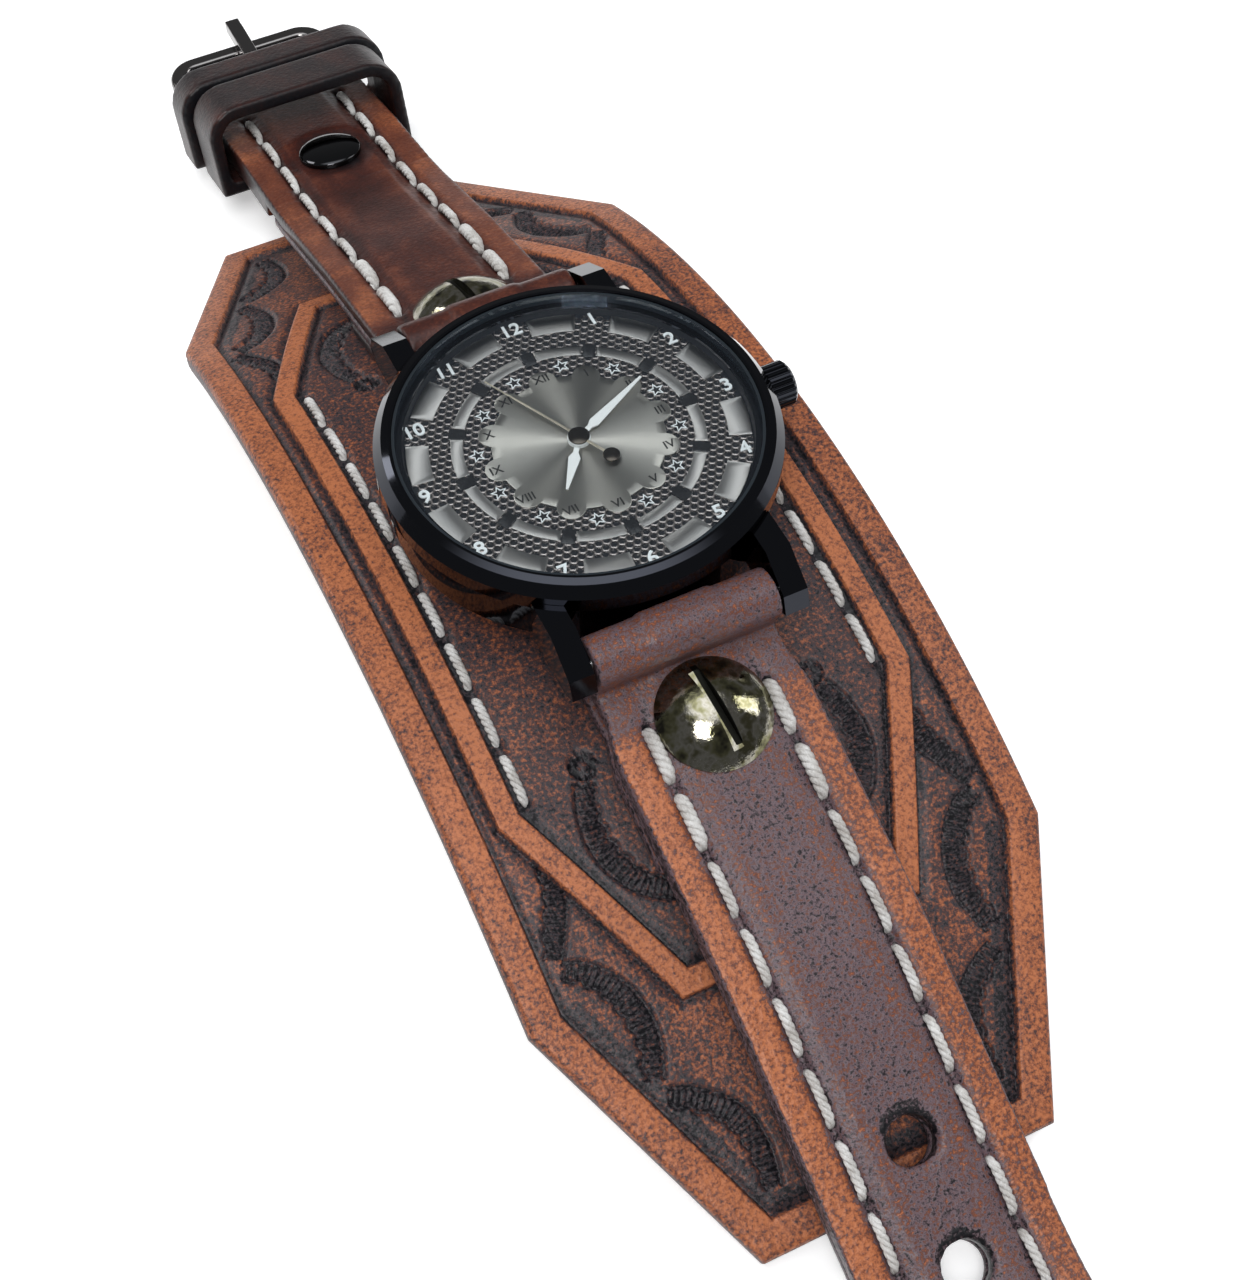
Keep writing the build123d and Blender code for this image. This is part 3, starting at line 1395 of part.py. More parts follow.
with BuildPart() as spring_bar_springs:
    with Locations(*bar_lines):
        with Locations((0, 0, bar_spring_wire_radius - spring_half_length)):
            add(bar_spring.part)
spring_bar_springs.part.label = "spring_bar_springs"
export_step(spring_bar_springs.part, "parts/spring_bar_springs.step")

for number, (bar_line, hand) in enumerate([(line, hand) for line in bar_lines
                                           for hand in (-1, 1)], start=1):
    flange_middle = hand * (flange_end - bar_flange_length / 2)
    pin_middle = hand * (pin_tip - bar_pin_length / 2)
    with BuildPart() as spring_bar_tip:
        with Locations(bar_line * Pos(0, 0, pin_middle)):
            Cylinder(bar_pin_radius, bar_pin_length)
        with Locations(bar_line * Pos(0, 0, flange_middle)):
            Cylinder(bar_flange_radius, bar_flange_length)
    spring_bar_tip.part.label = f"spring_bar_tip_{number}"
    export_step(spring_bar_tip.part, f"parts/spring_bar_tip_{number}.step")
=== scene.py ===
"""The cuff watch's looks: tooled cuff, stitched straps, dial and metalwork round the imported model.

The model's frame is in metres, +Z up. Sizes here are in millimetres, and mm scales them where
a mesh is made. On the cuff, x is across it and run is the length along its upper face from
its middle. On the dial, angles are clockwise from 12 o'clock.
"""

import json
import math

import bmesh
import bpy
import numpy as np
from mathutils import Matrix, Vector


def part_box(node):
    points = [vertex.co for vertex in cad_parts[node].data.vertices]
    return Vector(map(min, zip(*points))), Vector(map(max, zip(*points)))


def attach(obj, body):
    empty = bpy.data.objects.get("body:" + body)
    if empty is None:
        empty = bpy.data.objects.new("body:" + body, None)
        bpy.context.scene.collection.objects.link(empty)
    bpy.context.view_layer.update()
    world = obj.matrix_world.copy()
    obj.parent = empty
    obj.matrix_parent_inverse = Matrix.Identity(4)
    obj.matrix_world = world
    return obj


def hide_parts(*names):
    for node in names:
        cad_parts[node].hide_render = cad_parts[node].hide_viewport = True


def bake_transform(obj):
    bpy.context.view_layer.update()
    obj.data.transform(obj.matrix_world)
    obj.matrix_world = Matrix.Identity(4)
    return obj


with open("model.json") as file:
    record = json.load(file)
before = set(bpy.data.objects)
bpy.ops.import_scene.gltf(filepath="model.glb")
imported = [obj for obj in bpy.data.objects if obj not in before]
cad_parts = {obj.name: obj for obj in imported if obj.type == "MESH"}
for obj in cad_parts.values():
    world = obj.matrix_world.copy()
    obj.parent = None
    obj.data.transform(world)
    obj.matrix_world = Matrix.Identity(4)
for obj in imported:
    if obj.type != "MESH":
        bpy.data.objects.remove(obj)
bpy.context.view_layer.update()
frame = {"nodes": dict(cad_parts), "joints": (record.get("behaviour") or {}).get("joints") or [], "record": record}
nodes = frame["nodes"]
joints = {joint["name"]: joint for joint in frame["joints"]}
mm = 0.001
root = "cuff_and_watch"


def box_mm(node):
    """Lowest and highest corners of a CAD node, in millimetres."""
    low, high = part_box(node)
    return np.array(low) / mm, np.array(high) / mm


def step(value, start, end):
    """0 before start, 1 after end, smooth between."""
    share = np.clip((value - start) / (end - start), 0, 1)
    return share * share * (3 - 2 * share)


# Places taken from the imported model

bezel_low, bezel_high = box_mm("bezel")
watch_x, watch_y = (bezel_low[:2] + bezel_high[:2]) / 2
rim_z = bezel_high[2]
dial_z = box_mm("dial")[1][2]
cuff_low, cuff_high = box_mm("cuff")
cuff_y = (cuff_low[1] + cuff_high[1]) / 2
cuff_top = cuff_high[2]

# Materials: each Look is a Principled shader with short ways to add nodes to it


class Look:
    """A material being put together from procedural nodes."""

    def __init__(self, name, **sockets):
        self.material = bpy.data.materials.new(name)
        self.material.use_nodes = True
        self.tree = self.material.node_tree
        self.shader = self.tree.nodes["Principled BSDF"]
        for socket, value in sockets.items():
            self.set(self.shader.inputs[socket.replace("_", " ")], value)
        self.place = self.tree.nodes.new("ShaderNodeTexCoord").outputs["Object"]

    def set(self, socket, value):
        """Link a node's output to a socket, or give the socket a value."""
        if isinstance(value, bpy.types.NodeSocket):
            self.tree.links.new(value, socket)
        elif socket.type == "RGBA" and len(value) < 4:
            socket.default_value = (*value, 1)
        else:
            socket.default_value = value

    def node(self, kind, inputs=(), output=0, **settings):
        """A new node with its inputs, given by name or number, set or linked."""
        made = self.tree.nodes.new("ShaderNode" + kind)
        for setting, value in settings.items():
            setattr(made, setting, value)
        for socket, value in dict(inputs).items():
            self.set(made.inputs[socket], value)
        return made.outputs[output]

    def sum(self, *values):
        total = values[0]
        for value in values[1:]:
            total = self.node("Math", {0: total, 1: value}, operation="ADD")
        return total

    def times(self, value, factor, less=0.0):
        """value times factor, less a constant."""
        return self.node("Math", {0: value, 1: factor, 2: -less}, operation="MULTIPLY_ADD")

    def attribute(self, name):
        return self.node("Attribute", attribute_name=name, output="Fac")

    def noise(self, size, detail=2.0, rough=0.5, place=None):
        """Noise from 0 to 1 whose features are about size millimetres."""
        return self.node("TexNoise", {"Vector": place or self.place, "Scale": 1 / (size * mm),
                                      "Detail": detail, "Roughness": rough})

    def cells(self, size, feature="F1"):
        """Distance from the middle of cells of about size millimetres."""
        return self.node("TexVoronoi", {"Vector": self.place, "Scale": 1 / (size * mm)},
                         feature=feature)

    def squeezed(self, *factors):
        """The place, with each axis scaled, for streaks."""
        return self.node("Mapping", {"Vector": self.place, "Scale": factors})

    def ramp(self, value, *stops):
        """Colours along a value, from (position, colour) stops."""
        made = self.tree.nodes.new("ShaderNodeValToRGB")
        elements = made.color_ramp.elements
        while len(elements) < len(stops):
            elements.new(0.5)
        for element, (position, colour) in zip(elements, stops):
            element.position = position
            element.color = (*colour, 1)
        self.set(made.inputs["Fac"], value)
        return made.outputs["Color"]

    def mix(self, factor, first, second):
        made = self.tree.nodes.new("ShaderNodeMix")
        made.data_type = "RGBA"
        for socket, value in zip((0, 6, 7), (factor, first, second)):
            self.set(made.inputs[socket], value)
        return made.outputs[2]

    def bump(self, height, depth, strength=1.0):
        """Surface relief from a height of 0 to 1, depth millimetres deep."""
        made = self.node("Bump", {"Height": height, "Distance": depth * mm,
                                  "Strength": strength})
        self.set(self.shader.inputs["Normal"], made)

    def finish(self, **links):
        for socket, value in links.items():
            self.set(self.shader.inputs[socket.replace("_", " ")], value)
        return self.material


tan_bright = (0.5, 0.17, 0.07)
tan_mid = (0.3, 0.095, 0.043)
brown = (0.115, 0.05, 0.041)
brown_dark = (0.042, 0.026, 0.027)
# The slate grey below is painted sheen: the bluish sky reflection on black-dyed leather, set as a colour.
slate_sheen = (0.052, 0.045, 0.053)
black_dye = (0.007, 0.007, 0.009)


def leather(name, stops, gloss=0.42, speckle=2.3, blotch=0.55, grain=0.07):
    """Dyed leather: the mesh's dye attribute runs from bare tan, 0, to black, 1, and also carries painted shade,
    sheen and highlights.
    """
    look = Look(name, Specular_IOR_Level=0.3)
    spots = look.noise(0.42, 3.0, 0.7)
    clouds = look.noise(7.0, 3.0, 0.6)
    streaks = look.noise(2.2, 3.0, 0.6, look.squeezed(1.0, 0.16, 1.0))
    tone = look.sum(look.attribute("dye"), look.times(spots, speckle, speckle / 2),
                    look.times(clouds, blotch, blotch / 2),
                    look.times(streaks, blotch / 2, blotch / 4))
    pores = look.cells(0.55)
    relief = look.sum(look.times(spots, 0.7), look.times(pores, 0.5),
                      look.times(streaks, 0.8))
    look.bump(relief, grain)
    rough = look.sum(look.times(clouds, 0.2, 0.1), look.times(spots, 0.16, 0.08), gloss)
    return look.finish(Base_Color=look.ramp(tone, *stops), Roughness=rough)


cuff_leather = leather("cuff_leather", [
    (0.0, tan_bright), (0.3, tan_mid), (0.54, brown), (0.72, brown_dark), (0.86, slate_sheen),
    (0.97, black_dye)])
# The purple-grey stops at 0.56 and 0.66 of the strap leather are painted sheen: the sky's reflection on the
# strap's padded middle.
strap_leather = leather("strap_leather", [
    (0.0, tan_bright), (0.26, tan_mid), (0.44, (0.115, 0.045, 0.034)),
    (0.56, (0.135, 0.077, 0.076)), (0.66, (0.16, 0.112, 0.13)), (0.84, (0.058, 0.04, 0.045)),
    (0.94, (0.02, 0.014, 0.016)), (1.0, black_dye)],
    gloss=0.36, speckle=1.9, blotch=0.3, grain=0.1)
upper_leather = leather("upper_leather", [
    (0.0, tan_bright), (0.3, (0.16, 0.048, 0.026)), (0.55, (0.062, 0.017, 0.012)),
    (0.8, (0.018, 0.009, 0.009)), (1.0, black_dye)],
    gloss=0.36, speckle=0.5, blotch=0.6, grain=0.05)
lining_leather = leather("lining_leather", [
    (0.0, (0.35, 0.2, 0.1)), (0.5, (0.2, 0.1, 0.05)), (1.0, (0.04, 0.02, 0.012))], gloss=0.6)

# Meshes


def new_piece(name, mesh, material, body, replaced=(), sharp=None):
    """A piece of the scene from a finished mesh, riding on a body."""
    made = bpy.data.objects.new(name, mesh)
    bpy.context.scene.collection.objects.link(made)
    mesh.materials.append(material)
    mesh.shade_smooth()
    if sharp:
        mesh.set_sharp_from_angle(angle=math.radians(sharp))
    if body:
        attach(made, body)
    if replaced:
        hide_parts(*replaced)
    return made


def mesh_of(name, points, faces):
    """A mesh from points in millimetres."""
    mesh = bpy.data.meshes.new(name)
    mesh.from_pydata((np.asarray(points, float) * mm).tolist(), [], faces)
    mesh.update()
    return mesh


def paint(mesh, **values):
    """Write values for each point as attributes that the materials read."""
    for name, value in values.items():
        attribute = mesh.attributes.new(name, "FLOAT", "POINT")
        attribute.data.foreach_set("value", np.asarray(value, np.float32))


def points_of(mesh):
    """A mesh's points in millimetres."""
    flat = np.empty(len(mesh.vertices) * 3)
    mesh.vertices.foreach_get("co", flat)
    return flat.reshape(-1, 3) / mm


def normals_of(mesh):
    flat = np.empty(len(mesh.vertices) * 3)
    mesh.vertex_normals.foreach_get("vector", flat)
    return flat.reshape(-1, 3)


def move_points(mesh, points):
    mesh.vertices.foreach_set("co", (points * mm).ravel())
    mesh.update()


def loop_faces(rows, columns, start=0):
    """Faces of a tube of rows, each a closed loop of columns points, numbered from start."""
    return [(base + column, base + (column + 1) % columns,
             base + columns + (column + 1) % columns, base + columns + column)
            for base in range(start, start + (rows - 1) * columns, columns)
            for column in range(columns)]


# Stitches: where each one lies, from the CAD threads


def stitches_in(*names):
    """(middle, direction, outward, length) of each stitch in CAD nodes, in millimetres."""
    found = []
    for name in names:
        work = bmesh.new()
        work.from_mesh(nodes[name].data)
        bmesh.ops.remove_doubles(work, verts=work.verts, dist=0.001 * mm)
        left = set(work.verts)
        while left:
            group = [left.pop()]
            for vertex in group:
                for edge in vertex.link_edges:
                    other = edge.other_vert(vertex)
                    if other in left:
                        left.discard(other)
                        group.append(other)
            points = np.array([vertex.co for vertex in group]) / mm
            middle = (points.min(0) + points.max(0)) / 2
            spread = points - points.mean(0)
            along = np.linalg.svd(spread, full_matrices=False)[2][0]
            along *= np.sign(along[1])
            outward = np.cross([1.0, 0, 0], along)
            reach = spread @ along
            found.append((middle, along, outward / np.linalg.norm(outward), np.ptp(reach)))
        work.free()
    return sorted(found, key=lambda stitch: (stitch[0][0] > 0, stitch[0][1]))


cuff_stitches = stitches_in("cuff_stitching")
lower_stitches = stitches_in("lower_strap_stitching", "strap_tail_stitching")
upper_stitches = stitches_in("upper_strap_stitching", "buckle_end_stitching")


def stitch_ends(stitches):
    """Where the thread goes into the leather."""
    return np.array([middle + hand * along * (length / 2 + 0.3)
                     for middle, along, outward, length in stitches for hand in (-1, 1)])


def pits(points, ends, radius=0.62):
    """How near each point is to the nearest thread hole, 1 at the hole."""
    nearest = np.full(len(points), 1e9)
    for end in ends:
        nearest = np.minimum(nearest, ((points - end) ** 2).sum(1))
    return np.exp(-nearest / radius ** 2)


# The cuff: a fine grid bent over its arc, with border, ridge and tooling pressed in

cuff_radius = 112.0
cuff_bend = math.radians(25.2)
cuff_bend_run = cuff_radius * cuff_bend
cuff_thickness = 3.2
cuff_outline = (28.6, 16.3, 51.8, 80.2)
ridge_outline = (23.3, 13.3, 31.8, 54.2)
border_width = 3.6
ridge_width = 2.6
row_place = 19.7


def bent(x, run, height):
    """Points on the cuff, height above its upper face."""
    turn = np.clip(run / cuff_radius, -cuff_bend, cuff_bend)
    straight = run - np.clip(run, -cuff_bend_run, cuff_bend_run)
    y = cuff_y + (cuff_radius + height) * np.sin(turn) + straight * math.cos(cuff_bend)
    z = (cuff_top - cuff_radius + (cuff_radius + height) * np.cos(turn)
         - np.abs(straight) * math.sin(cuff_bend))
    return np.stack([np.broadcast_to(x, y.shape), y, z], -1)


def inside_octagon(x, run, half, end_half, side_run, end_run):
    """Distance inside a long octagon's edge, negative outside it."""
    across, along = np.abs(x), np.abs(run)
    length = math.hypot(half - end_half, end_run - side_run)
    chamfer = ((half - across) * (end_run - side_run)
               + (side_run - along) * (half - end_half)) / length
    return np.minimum(np.minimum(half - across, end_run - along), chamfer)


def smooth_line(points, spacing=0.25):
    """A curve through points, as evenly spaced points with their lengths along it."""
    points = np.array(points, float)
    padded = np.vstack([2 * points[0] - points[1], points, 2 * points[-1] - points[-2]])
    curve = []
    for before, start, end, after in zip(padded, padded[1:], padded[2:], padded[3:]):
        for share in np.linspace(0, 1, 24, endpoint=False):
            curve.append(0.5 * (2 * start + (end - before) * share
                                + (2 * before - 5 * start + 4 * end - after) * share ** 2
                                + (3 * start - before - 3 * end + after) * share ** 3))
    curve = np.array(curve + [points[-1]])
    lengths = np.concatenate([[0], np.cumsum(np.linalg.norm(np.diff(curve, axis=0), axis=1))])
    even = np.arange(0, lengths[-1], spacing)
    return np.stack([np.interp(even, lengths, curve[:, axis]) for axis in (0, 1)], -1), even


def along_line(x, run, line, reach=4.0):
    """Length along a line and signed distance across it for points of the cuff."""
    points, lengths = smooth_line(line)
    along = np.full(x.shape, -1.0)
    across = np.full(x.shape, 1e3)
    near = ((x > points[:, 0].min() - reach) & (x < points[:, 0].max() + reach)
            & (run > points[:, 1].min() - reach) & (run < points[:, 1].max() + reach))
    spots = np.stack([x[near], run[near]], -1)
    best = ((spots[:, None] - points[None]) ** 2).sum(2).argmin(1)
    tangents = np.gradient(points, axis=0)
    tangents /= np.linalg.norm(tangents, axis=1)[:, None]
    offset = spots - points[best]
    forward = (offset * tangents[best]).sum(1)
    inner = (best > 0) & (best < len(points) - 1)
    along[near] = lengths[best] + forward
    across[near] = np.where(inner, tangents[best, 0] * offset[:, 1]
                            - tangents[best, 1] * offset[:, 0], 1e3)
    return along, across, lengths[-1]


# Tooling lines of one quarter, mirrored to the others: (x, run) points and half width. Their
# lobes are on the side towards the border or, inside the ridge, towards the strap

tooling_lines = [
    ([(13.5, 30.5), (14.3, 32.8), (14.7, 35.5), (14.5, 38.1), (13.6, 40.4), (12.3, 42.4),
      (10.2, 43.9), (8.0, 45.0)], 0.95, 1),
    ([(20.5, 36.6), (20.4, 38.9), (20.9, 40.9), (22.1, 43.3), (23.4, 46.0)], 0.85, -1),
    ([(23.3, 46.9), (21.1, 48.0), (19.1, 50.4), (18.0, 53.3), (17.8, 56.6), (18.9, 60.6)], 1.0,
     -1),
    ([(18.4, 61.9), (15.8, 63.4), (13.0, 66.2), (12.0, 70.0), (12.3, 74.5)], 0.95, -1),
]
seeder_spot = (12.8, 29.1)
seeder_radius = 1.55
rib_spacing = 0.64
lobe_spacing = 2.2
lobe_height = 0.45
channel_width = 0.75
channel_depth = 0.4
tooled_depth = 0.42
edge_round = 0.7


def cuff_relief(x, run):
    """Height above the cuff's face, and colour tone with painted shade and sheen, for points of its upper face."""
    rim = inside_octagon(x, run, *cuff_outline)
    ring = inside_octagon(x, run, *ridge_outline)
    border = 1 - step(rim, border_width - 0.2, border_width + 0.2)
    ridge = step(ring, -0.2, 0.2) * (1 - step(ring, ridge_width - 0.2, ridge_width + 0.2))
    proud = np.maximum(border, ridge)
    beside = np.minimum(np.maximum(rim - border_width, 0),
                        np.where(ring < 0, -ring, np.maximum(ring - ridge_width, 0)))
    channel = np.exp(-(beside / channel_width) ** 2)
    height = -tooled_depth - channel_depth * channel
    dye = np.where(ring > 0, 0.63, 0.52) + 0.42 * channel

    across, along = np.abs(x), np.abs(run)
    # The flats between the arches and the border take the 0.86 stop, the painted slate sheen.
    flat = step(along, 48.5, 51.0) * (1 - step(rim, border_width + 2.0, border_width + 2.6))
    dye = np.maximum(dye, 0.86 * flat)
    for line, half, lobe_side in tooling_lines:
        length_at, off, total = along_line(across, along, line)
        share = np.clip(length_at / total, 0, 1)
        width = half * (0.6 + 0.4 * np.sin(np.pi * share))
        lobes = lobe_height * np.abs(np.sin(np.pi * length_at / lobe_spacing))
        reach = width + np.where(off * lobe_side > 0, lobes, 0)
        beyond = np.abs(off) - reach
        stroke = 1 - step(beyond, -0.12, 0.12)
        ribs = 0.5 + 0.5 * np.cos(2 * np.pi * length_at / rib_spacing)
        edge_line = np.exp(-((beyond - 0.12) / 0.24) ** 2)
        # shade is painted shade: a dark halo fading out to about 4 mm beside each stroke.
        shade = np.exp(-np.maximum(beyond, 0) / 0.8) * (beyond < 4)
        height = height - stroke * (0.02 + 0.26 * ribs) - 0.38 * edge_line
        # Inside a stroke the rib crests take the painted slate sheen near 0.84, and the troughs are black.
        dye = np.where(stroke > 0.5, 0.84 + 0.16 * ribs, dye + (1 - dye) * 0.45 * shade)
        dye = np.maximum(dye, edge_line)

    from_seed = np.hypot(across - seeder_spot[0], along - seeder_spot[1])
    angle = np.arctan2(along - seeder_spot[1], across - seeder_spot[0])
    cup = step(from_seed, 0.35, 0.55) * (1 - step(from_seed, seeder_radius - 0.1,
                                                  seeder_radius + 0.1))
    height -= cup * (0.35 + 0.15 * np.cos(12 * angle))
    dye = np.maximum(dye, cup)

    height = height * (1 - proud) - 0.1 * border * (2 * rim / border_width - 1) ** 2
    dye = dye * (1 - proud) + proud * (0.13 + 0.09 * border + 0.2 * np.exp(-rim / 0.5))
    tuck = np.clip(edge_round - rim, 0, edge_round)
    height -= edge_round - np.sqrt(edge_round ** 2 - tuck ** 2)
    rows = np.exp(-((across - row_place) / 0.6) ** 2) * (1 - step(along, 31.5, 33.0))
    return height - 0.16 * rows, np.clip(dye + 0.2 * rows, 0, 1)


def build_cuff():
    spacing = 0.17
    plain_run, plain_spacing = 30.0, 0.4
    columns = int(2 * cuff_outline[0] / spacing)
    tooled = np.arange(plain_run, cuff_outline[3], spacing)
    plain = np.arange(-plain_run + plain_spacing, plain_run, plain_spacing)
    runs = np.concatenate([-tooled[::-1], plain, tooled])
    runs[0], runs[-1] = -cuff_outline[3], cuff_outline[3]
    halves = np.interp(np.abs(runs), (0, cuff_outline[2], cuff_outline[3]),
                       (cuff_outline[0], cuff_outline[0], cuff_outline[1]))
    shares = np.linspace(-1, 1, columns)
    x = halves[:, None] * shares[None]
    run = np.broadcast_to(runs[:, None], x.shape)
    height, dye = cuff_relief(x, run)
    top = bent(x, run, height)
    holes = pits(top.reshape(-1, 3), stitch_ends(cuff_stitches), 0.6).reshape(x.shape)
    height = height - 0.55 * holes
    dye = np.maximum(dye + 0.09 * step(x, 24.0, 27.0) * (dye < 0.4), 1.5 * holes)
    depths = np.array([0.5, 1.2, 2.0, 2.8, cuff_thickness])
    bulge = np.array([0.25, 0.4, 0.4, 0.25, 0.0])
    side_top = 0.25
    right_x = halves[:, None] - bulge.max() + bulge
    side_run = np.broadcast_to(runs[:, None], right_x.shape)
    right = bent(right_x, side_run,
                 -side_top - depths[None] * (cuff_thickness - side_top) / cuff_thickness)
    under_share = 0.97
    under_x = halves[:, None] * np.linspace(under_share, -under_share, 40)[None]
    under = bent(under_x, np.broadcast_to(runs[:, None], under_x.shape),
                 np.full(under_x.shape, -cuff_thickness))
    left = right[:, ::-1] * (-1, 1, 1)
    loops = np.concatenate([bent(x, run, height), right, under, left], 1)
    cut_dye, under_dye = 0.72, 0.5
    tones = np.concatenate([dye, np.full(right.shape[:2], cut_dye),
                            np.full(under.shape[:2], under_dye),
                            np.full(left.shape[:2], cut_dye)], 1)
    rows, count = loops.shape[:2]
    faces = [face[::-1] for face in loop_faces(rows, count)]
    faces.append(tuple(range(count)))
    faces.append(tuple(reversed(range((rows - 1) * count, rows * count))))
    mesh = mesh_of("cuff_skin", loops.reshape(-1, 3), faces)
    paint(mesh, dye=tones.ravel())
    new_piece("cuff_skin", mesh, cuff_leather, root, ["cuff"], sharp=50)


build_cuff()

# Straps, lining and keepers: dense copies of the CAD leather with worn edges and a soft crown


def worn_copy(name, node_names, voxel=0.34, passes=5, joint=None, slope=0.0, hand=0):
    """A dense mesh of CAD nodes merged into one, closed where they bend and rounded by wear."""
    work = bmesh.new()
    for node in node_names:
        work.from_mesh(nodes[node].data)
    bmesh.ops.remove_doubles(work, verts=work.verts, dist=0.001 * mm)
    if joint:
        pivot = np.array(joints[joint]["pos_m"]) / mm
        outward = np.array([0, hand * math.cos(slope), math.sin(slope)])
        bridge = 1.3
        hinge_radius = 1.72
        past_hinge = 0.05
        for vertex in work.verts:
            away = np.array(vertex.co) / mm - pivot
            if math.hypot(away[1], away[2]) < hinge_radius and away @ outward < past_hinge:
                vertex.co -= Vector(outward * bridge * mm)
    mesh = bpy.data.meshes.new(name)
    work.to_mesh(mesh)
    work.free()
    holder = bpy.data.objects.new(name, mesh)
    bpy.context.scene.collection.objects.link(holder)
    remesh = holder.modifiers.new("remesh", "REMESH")
    remesh.mode = "VOXEL"
    remesh.voxel_size = voxel * mm
    smooth = holder.modifiers.new("smooth", "SMOOTH")
    smooth.factor = 0.5
    smooth.iterations = passes
    ready = holder.evaluated_get(bpy.context.evaluated_depsgraph_get())
    dense = bpy.data.meshes.new_from_object(ready)
    bpy.data.objects.remove(holder)
    dense.name = name
    return dense


def local_half(points, bins=2.0):
    """Half width of a strap where each point is, from the widest point near it."""
    keys = np.round(points[:, 1] / bins).astype(int)
    low = keys.min()
    widest = np.zeros(keys.max() - low + 1)
    np.maximum.at(widest, keys - low, np.abs(points[:, 0]))
    centres = (np.arange(len(widest)) + low) * bins
    return np.interp(points[:, 1], centres, widest)


row_inset = 4.1


def dress_strap(mesh, ends, edge_tone, middle_tone, right_edge=0.0, crown=0.3):
    """Shape and tone a strap: tan edges outside the stitch rows, a padded middle that is dark on the upper strap
    and painted purple-grey sheen on the lower.
    """
    points = points_of(mesh)
    normals = normals_of(mesh)
    edge = local_half(points) - np.abs(points[:, 0])
    facing = np.abs(normals[:, 0])
    upward = step(normals[:, 2], 0.35, 0.75) * (1 - step(facing, 0.3, 0.6))
    middle = step(edge, row_inset + 0.6, row_inset + 2.4)
    holes = pits(points, ends)
    sewn = np.minimum(1.6 * pits(points, ends, 3.4), 1)
    row = sewn * np.exp(-((edge - row_inset) / 0.85) ** 2)
    crease = np.exp(-((edge - row_inset - 1.5) / 0.28) ** 2)
    lift = upward * (crown * middle - 0.12 * crease - 0.15 * row - 0.7 * holes)
    near_edge = edge_tone + right_edge * (points[:, 0] > 0)
    # On the lower strap the middle's 0.66 lands on the strap leather's purple-grey stop, a painted sheen.
    centre = middle_tone - 0.13 * (1 - step(edge, row_inset + 2.2, row_inset + 4.6))
    dye = near_edge + (centre - near_edge) * step(edge, row_inset - 1.3, row_inset + 0.2)
    dye = dye + 0.3 * row + 0.14 * crease
    dye = np.maximum(dye, 1.5 * holes)
    side = step(facing, 0.45, 0.8)
    dye = dye * (1 - side) + 0.8 * side
    # Downward faces take 0.66 as well, the painted sheen stop on the lower strap.
    under = step(-normals[:, 2], 0.2, 0.6) * (1 - side)
    dye = dye * (1 - under) + 0.66 * under
    move_points(mesh, points + normals * lift[:, None])
    return points, normals, dye


lower_slope = math.radians(-12.35)
upper_slope = math.radians(-12.77)
wrap_dye = 0.55
hole_spots = [np.array(mount["pos_m"]) / mm for mount in frame["record"]["mounts"]
              if mount["kind"] == "bore"]


def blend_across(piece):
    """Bake a piece's placement into its mesh."""
    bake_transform(piece)


screw_low, screw_high = box_mm("strap_screws")
lower_mesh = worn_copy("lower_strap_skin", ["lower_strap", "strap_tail"], joint="tail_flex",
                       slope=lower_slope, hand=-1)
points, normals, dye = dress_strap(lower_mesh, stitch_ends(lower_stitches), edge_tone=0.15,
                                   middle_tone=0.66, right_edge=0.12)
wrap = step(points[:, 1], screw_low[1] + 5.5, screw_low[1] + 8.0)
dye = dye + wrap * (wrap_dye - dye) * (dye < 0.7)
for spot in hole_spots:
    away = np.hypot(points[:, 0] - spot[0], points[:, 1] - spot[1])
    dye = np.maximum(dye, 1 - step(away, 2.7, 3.3))
paint(lower_mesh, dye=dye)
lower_skin = new_piece("lower_strap_skin", lower_mesh, strap_leather, None,
                       ["lower_strap", "strap_tail"])
blend_across(lower_skin)

lining_mesh = worn_copy("lower_lining_skin", ["lower_strap_lining", "strap_tail_lining"],
                        joint="tail_flex", slope=lower_slope, hand=-1, passes=3)
lining_inset = (0.994, 1, 1)
move_points(lining_mesh, points_of(lining_mesh) * lining_inset)
paint(lining_mesh, dye=np.full(len(lining_mesh.vertices), 0.82))
lining_skin = new_piece("lower_lining_skin", lining_mesh, strap_leather, None,
                        ["lower_strap_lining", "strap_tail_lining"])
blend_across(lining_skin)

upper_mesh = worn_copy("upper_strap_skin", ["upper_strap", "buckle_strap_end"],
                       joint="buckle_flex", slope=upper_slope, hand=1)
points, normals, dye = dress_strap(upper_mesh, stitch_ends(upper_stitches), edge_tone=0.3,
                                   middle_tone=0.6)
rivet_seat = np.array([0.0, 90.12, 14.40])
rivet_radius = 4.0
pressed_depth = 0.45
from_rivet = np.linalg.norm(points - rivet_seat, axis=1)
pressed = (1 - step(from_rivet, rivet_radius + 0.2, rivet_radius + 2.6)) * (normals[:, 2] > 0.5)
move_points(upper_mesh, points_of(upper_mesh) - pressed_depth * pressed[:, None] * (0, 0, 1))
dye = dye + 0.2 * pressed
wrap = 1 - step(points[:, 1], screw_high[1] - 5.0, screw_high[1] - 2.0)
dye = dye + wrap * (wrap_dye - dye) * (dye < 0.7)
dark_fold_from, dark_fold_to = 104.0, 108.0
dye = np.maximum(dye, 0.85 * step(points[:, 1], dark_fold_from, dark_fold_to))
paint(upper_mesh, dye=dye)
upper_skin = new_piece("upper_strap_skin", upper_mesh, upper_leather, None,
                       ["upper_strap", "buckle_strap_end"])
blend_across(upper_skin)

for name, node, tone, material, slot in (
        ("upper_lining_skin", "upper_strap_lining", 0.75, strap_leather, "strap_lining"),
        ("cuff_lining_skin", "cuff_lining", 0.35, lining_leather, "cuff_lining")):
    mesh = worn_copy(name, [node], passes=3)
    paint(mesh, dye=np.full(len(mesh.vertices), tone))
    new_piece(name, mesh, material, root, [node])

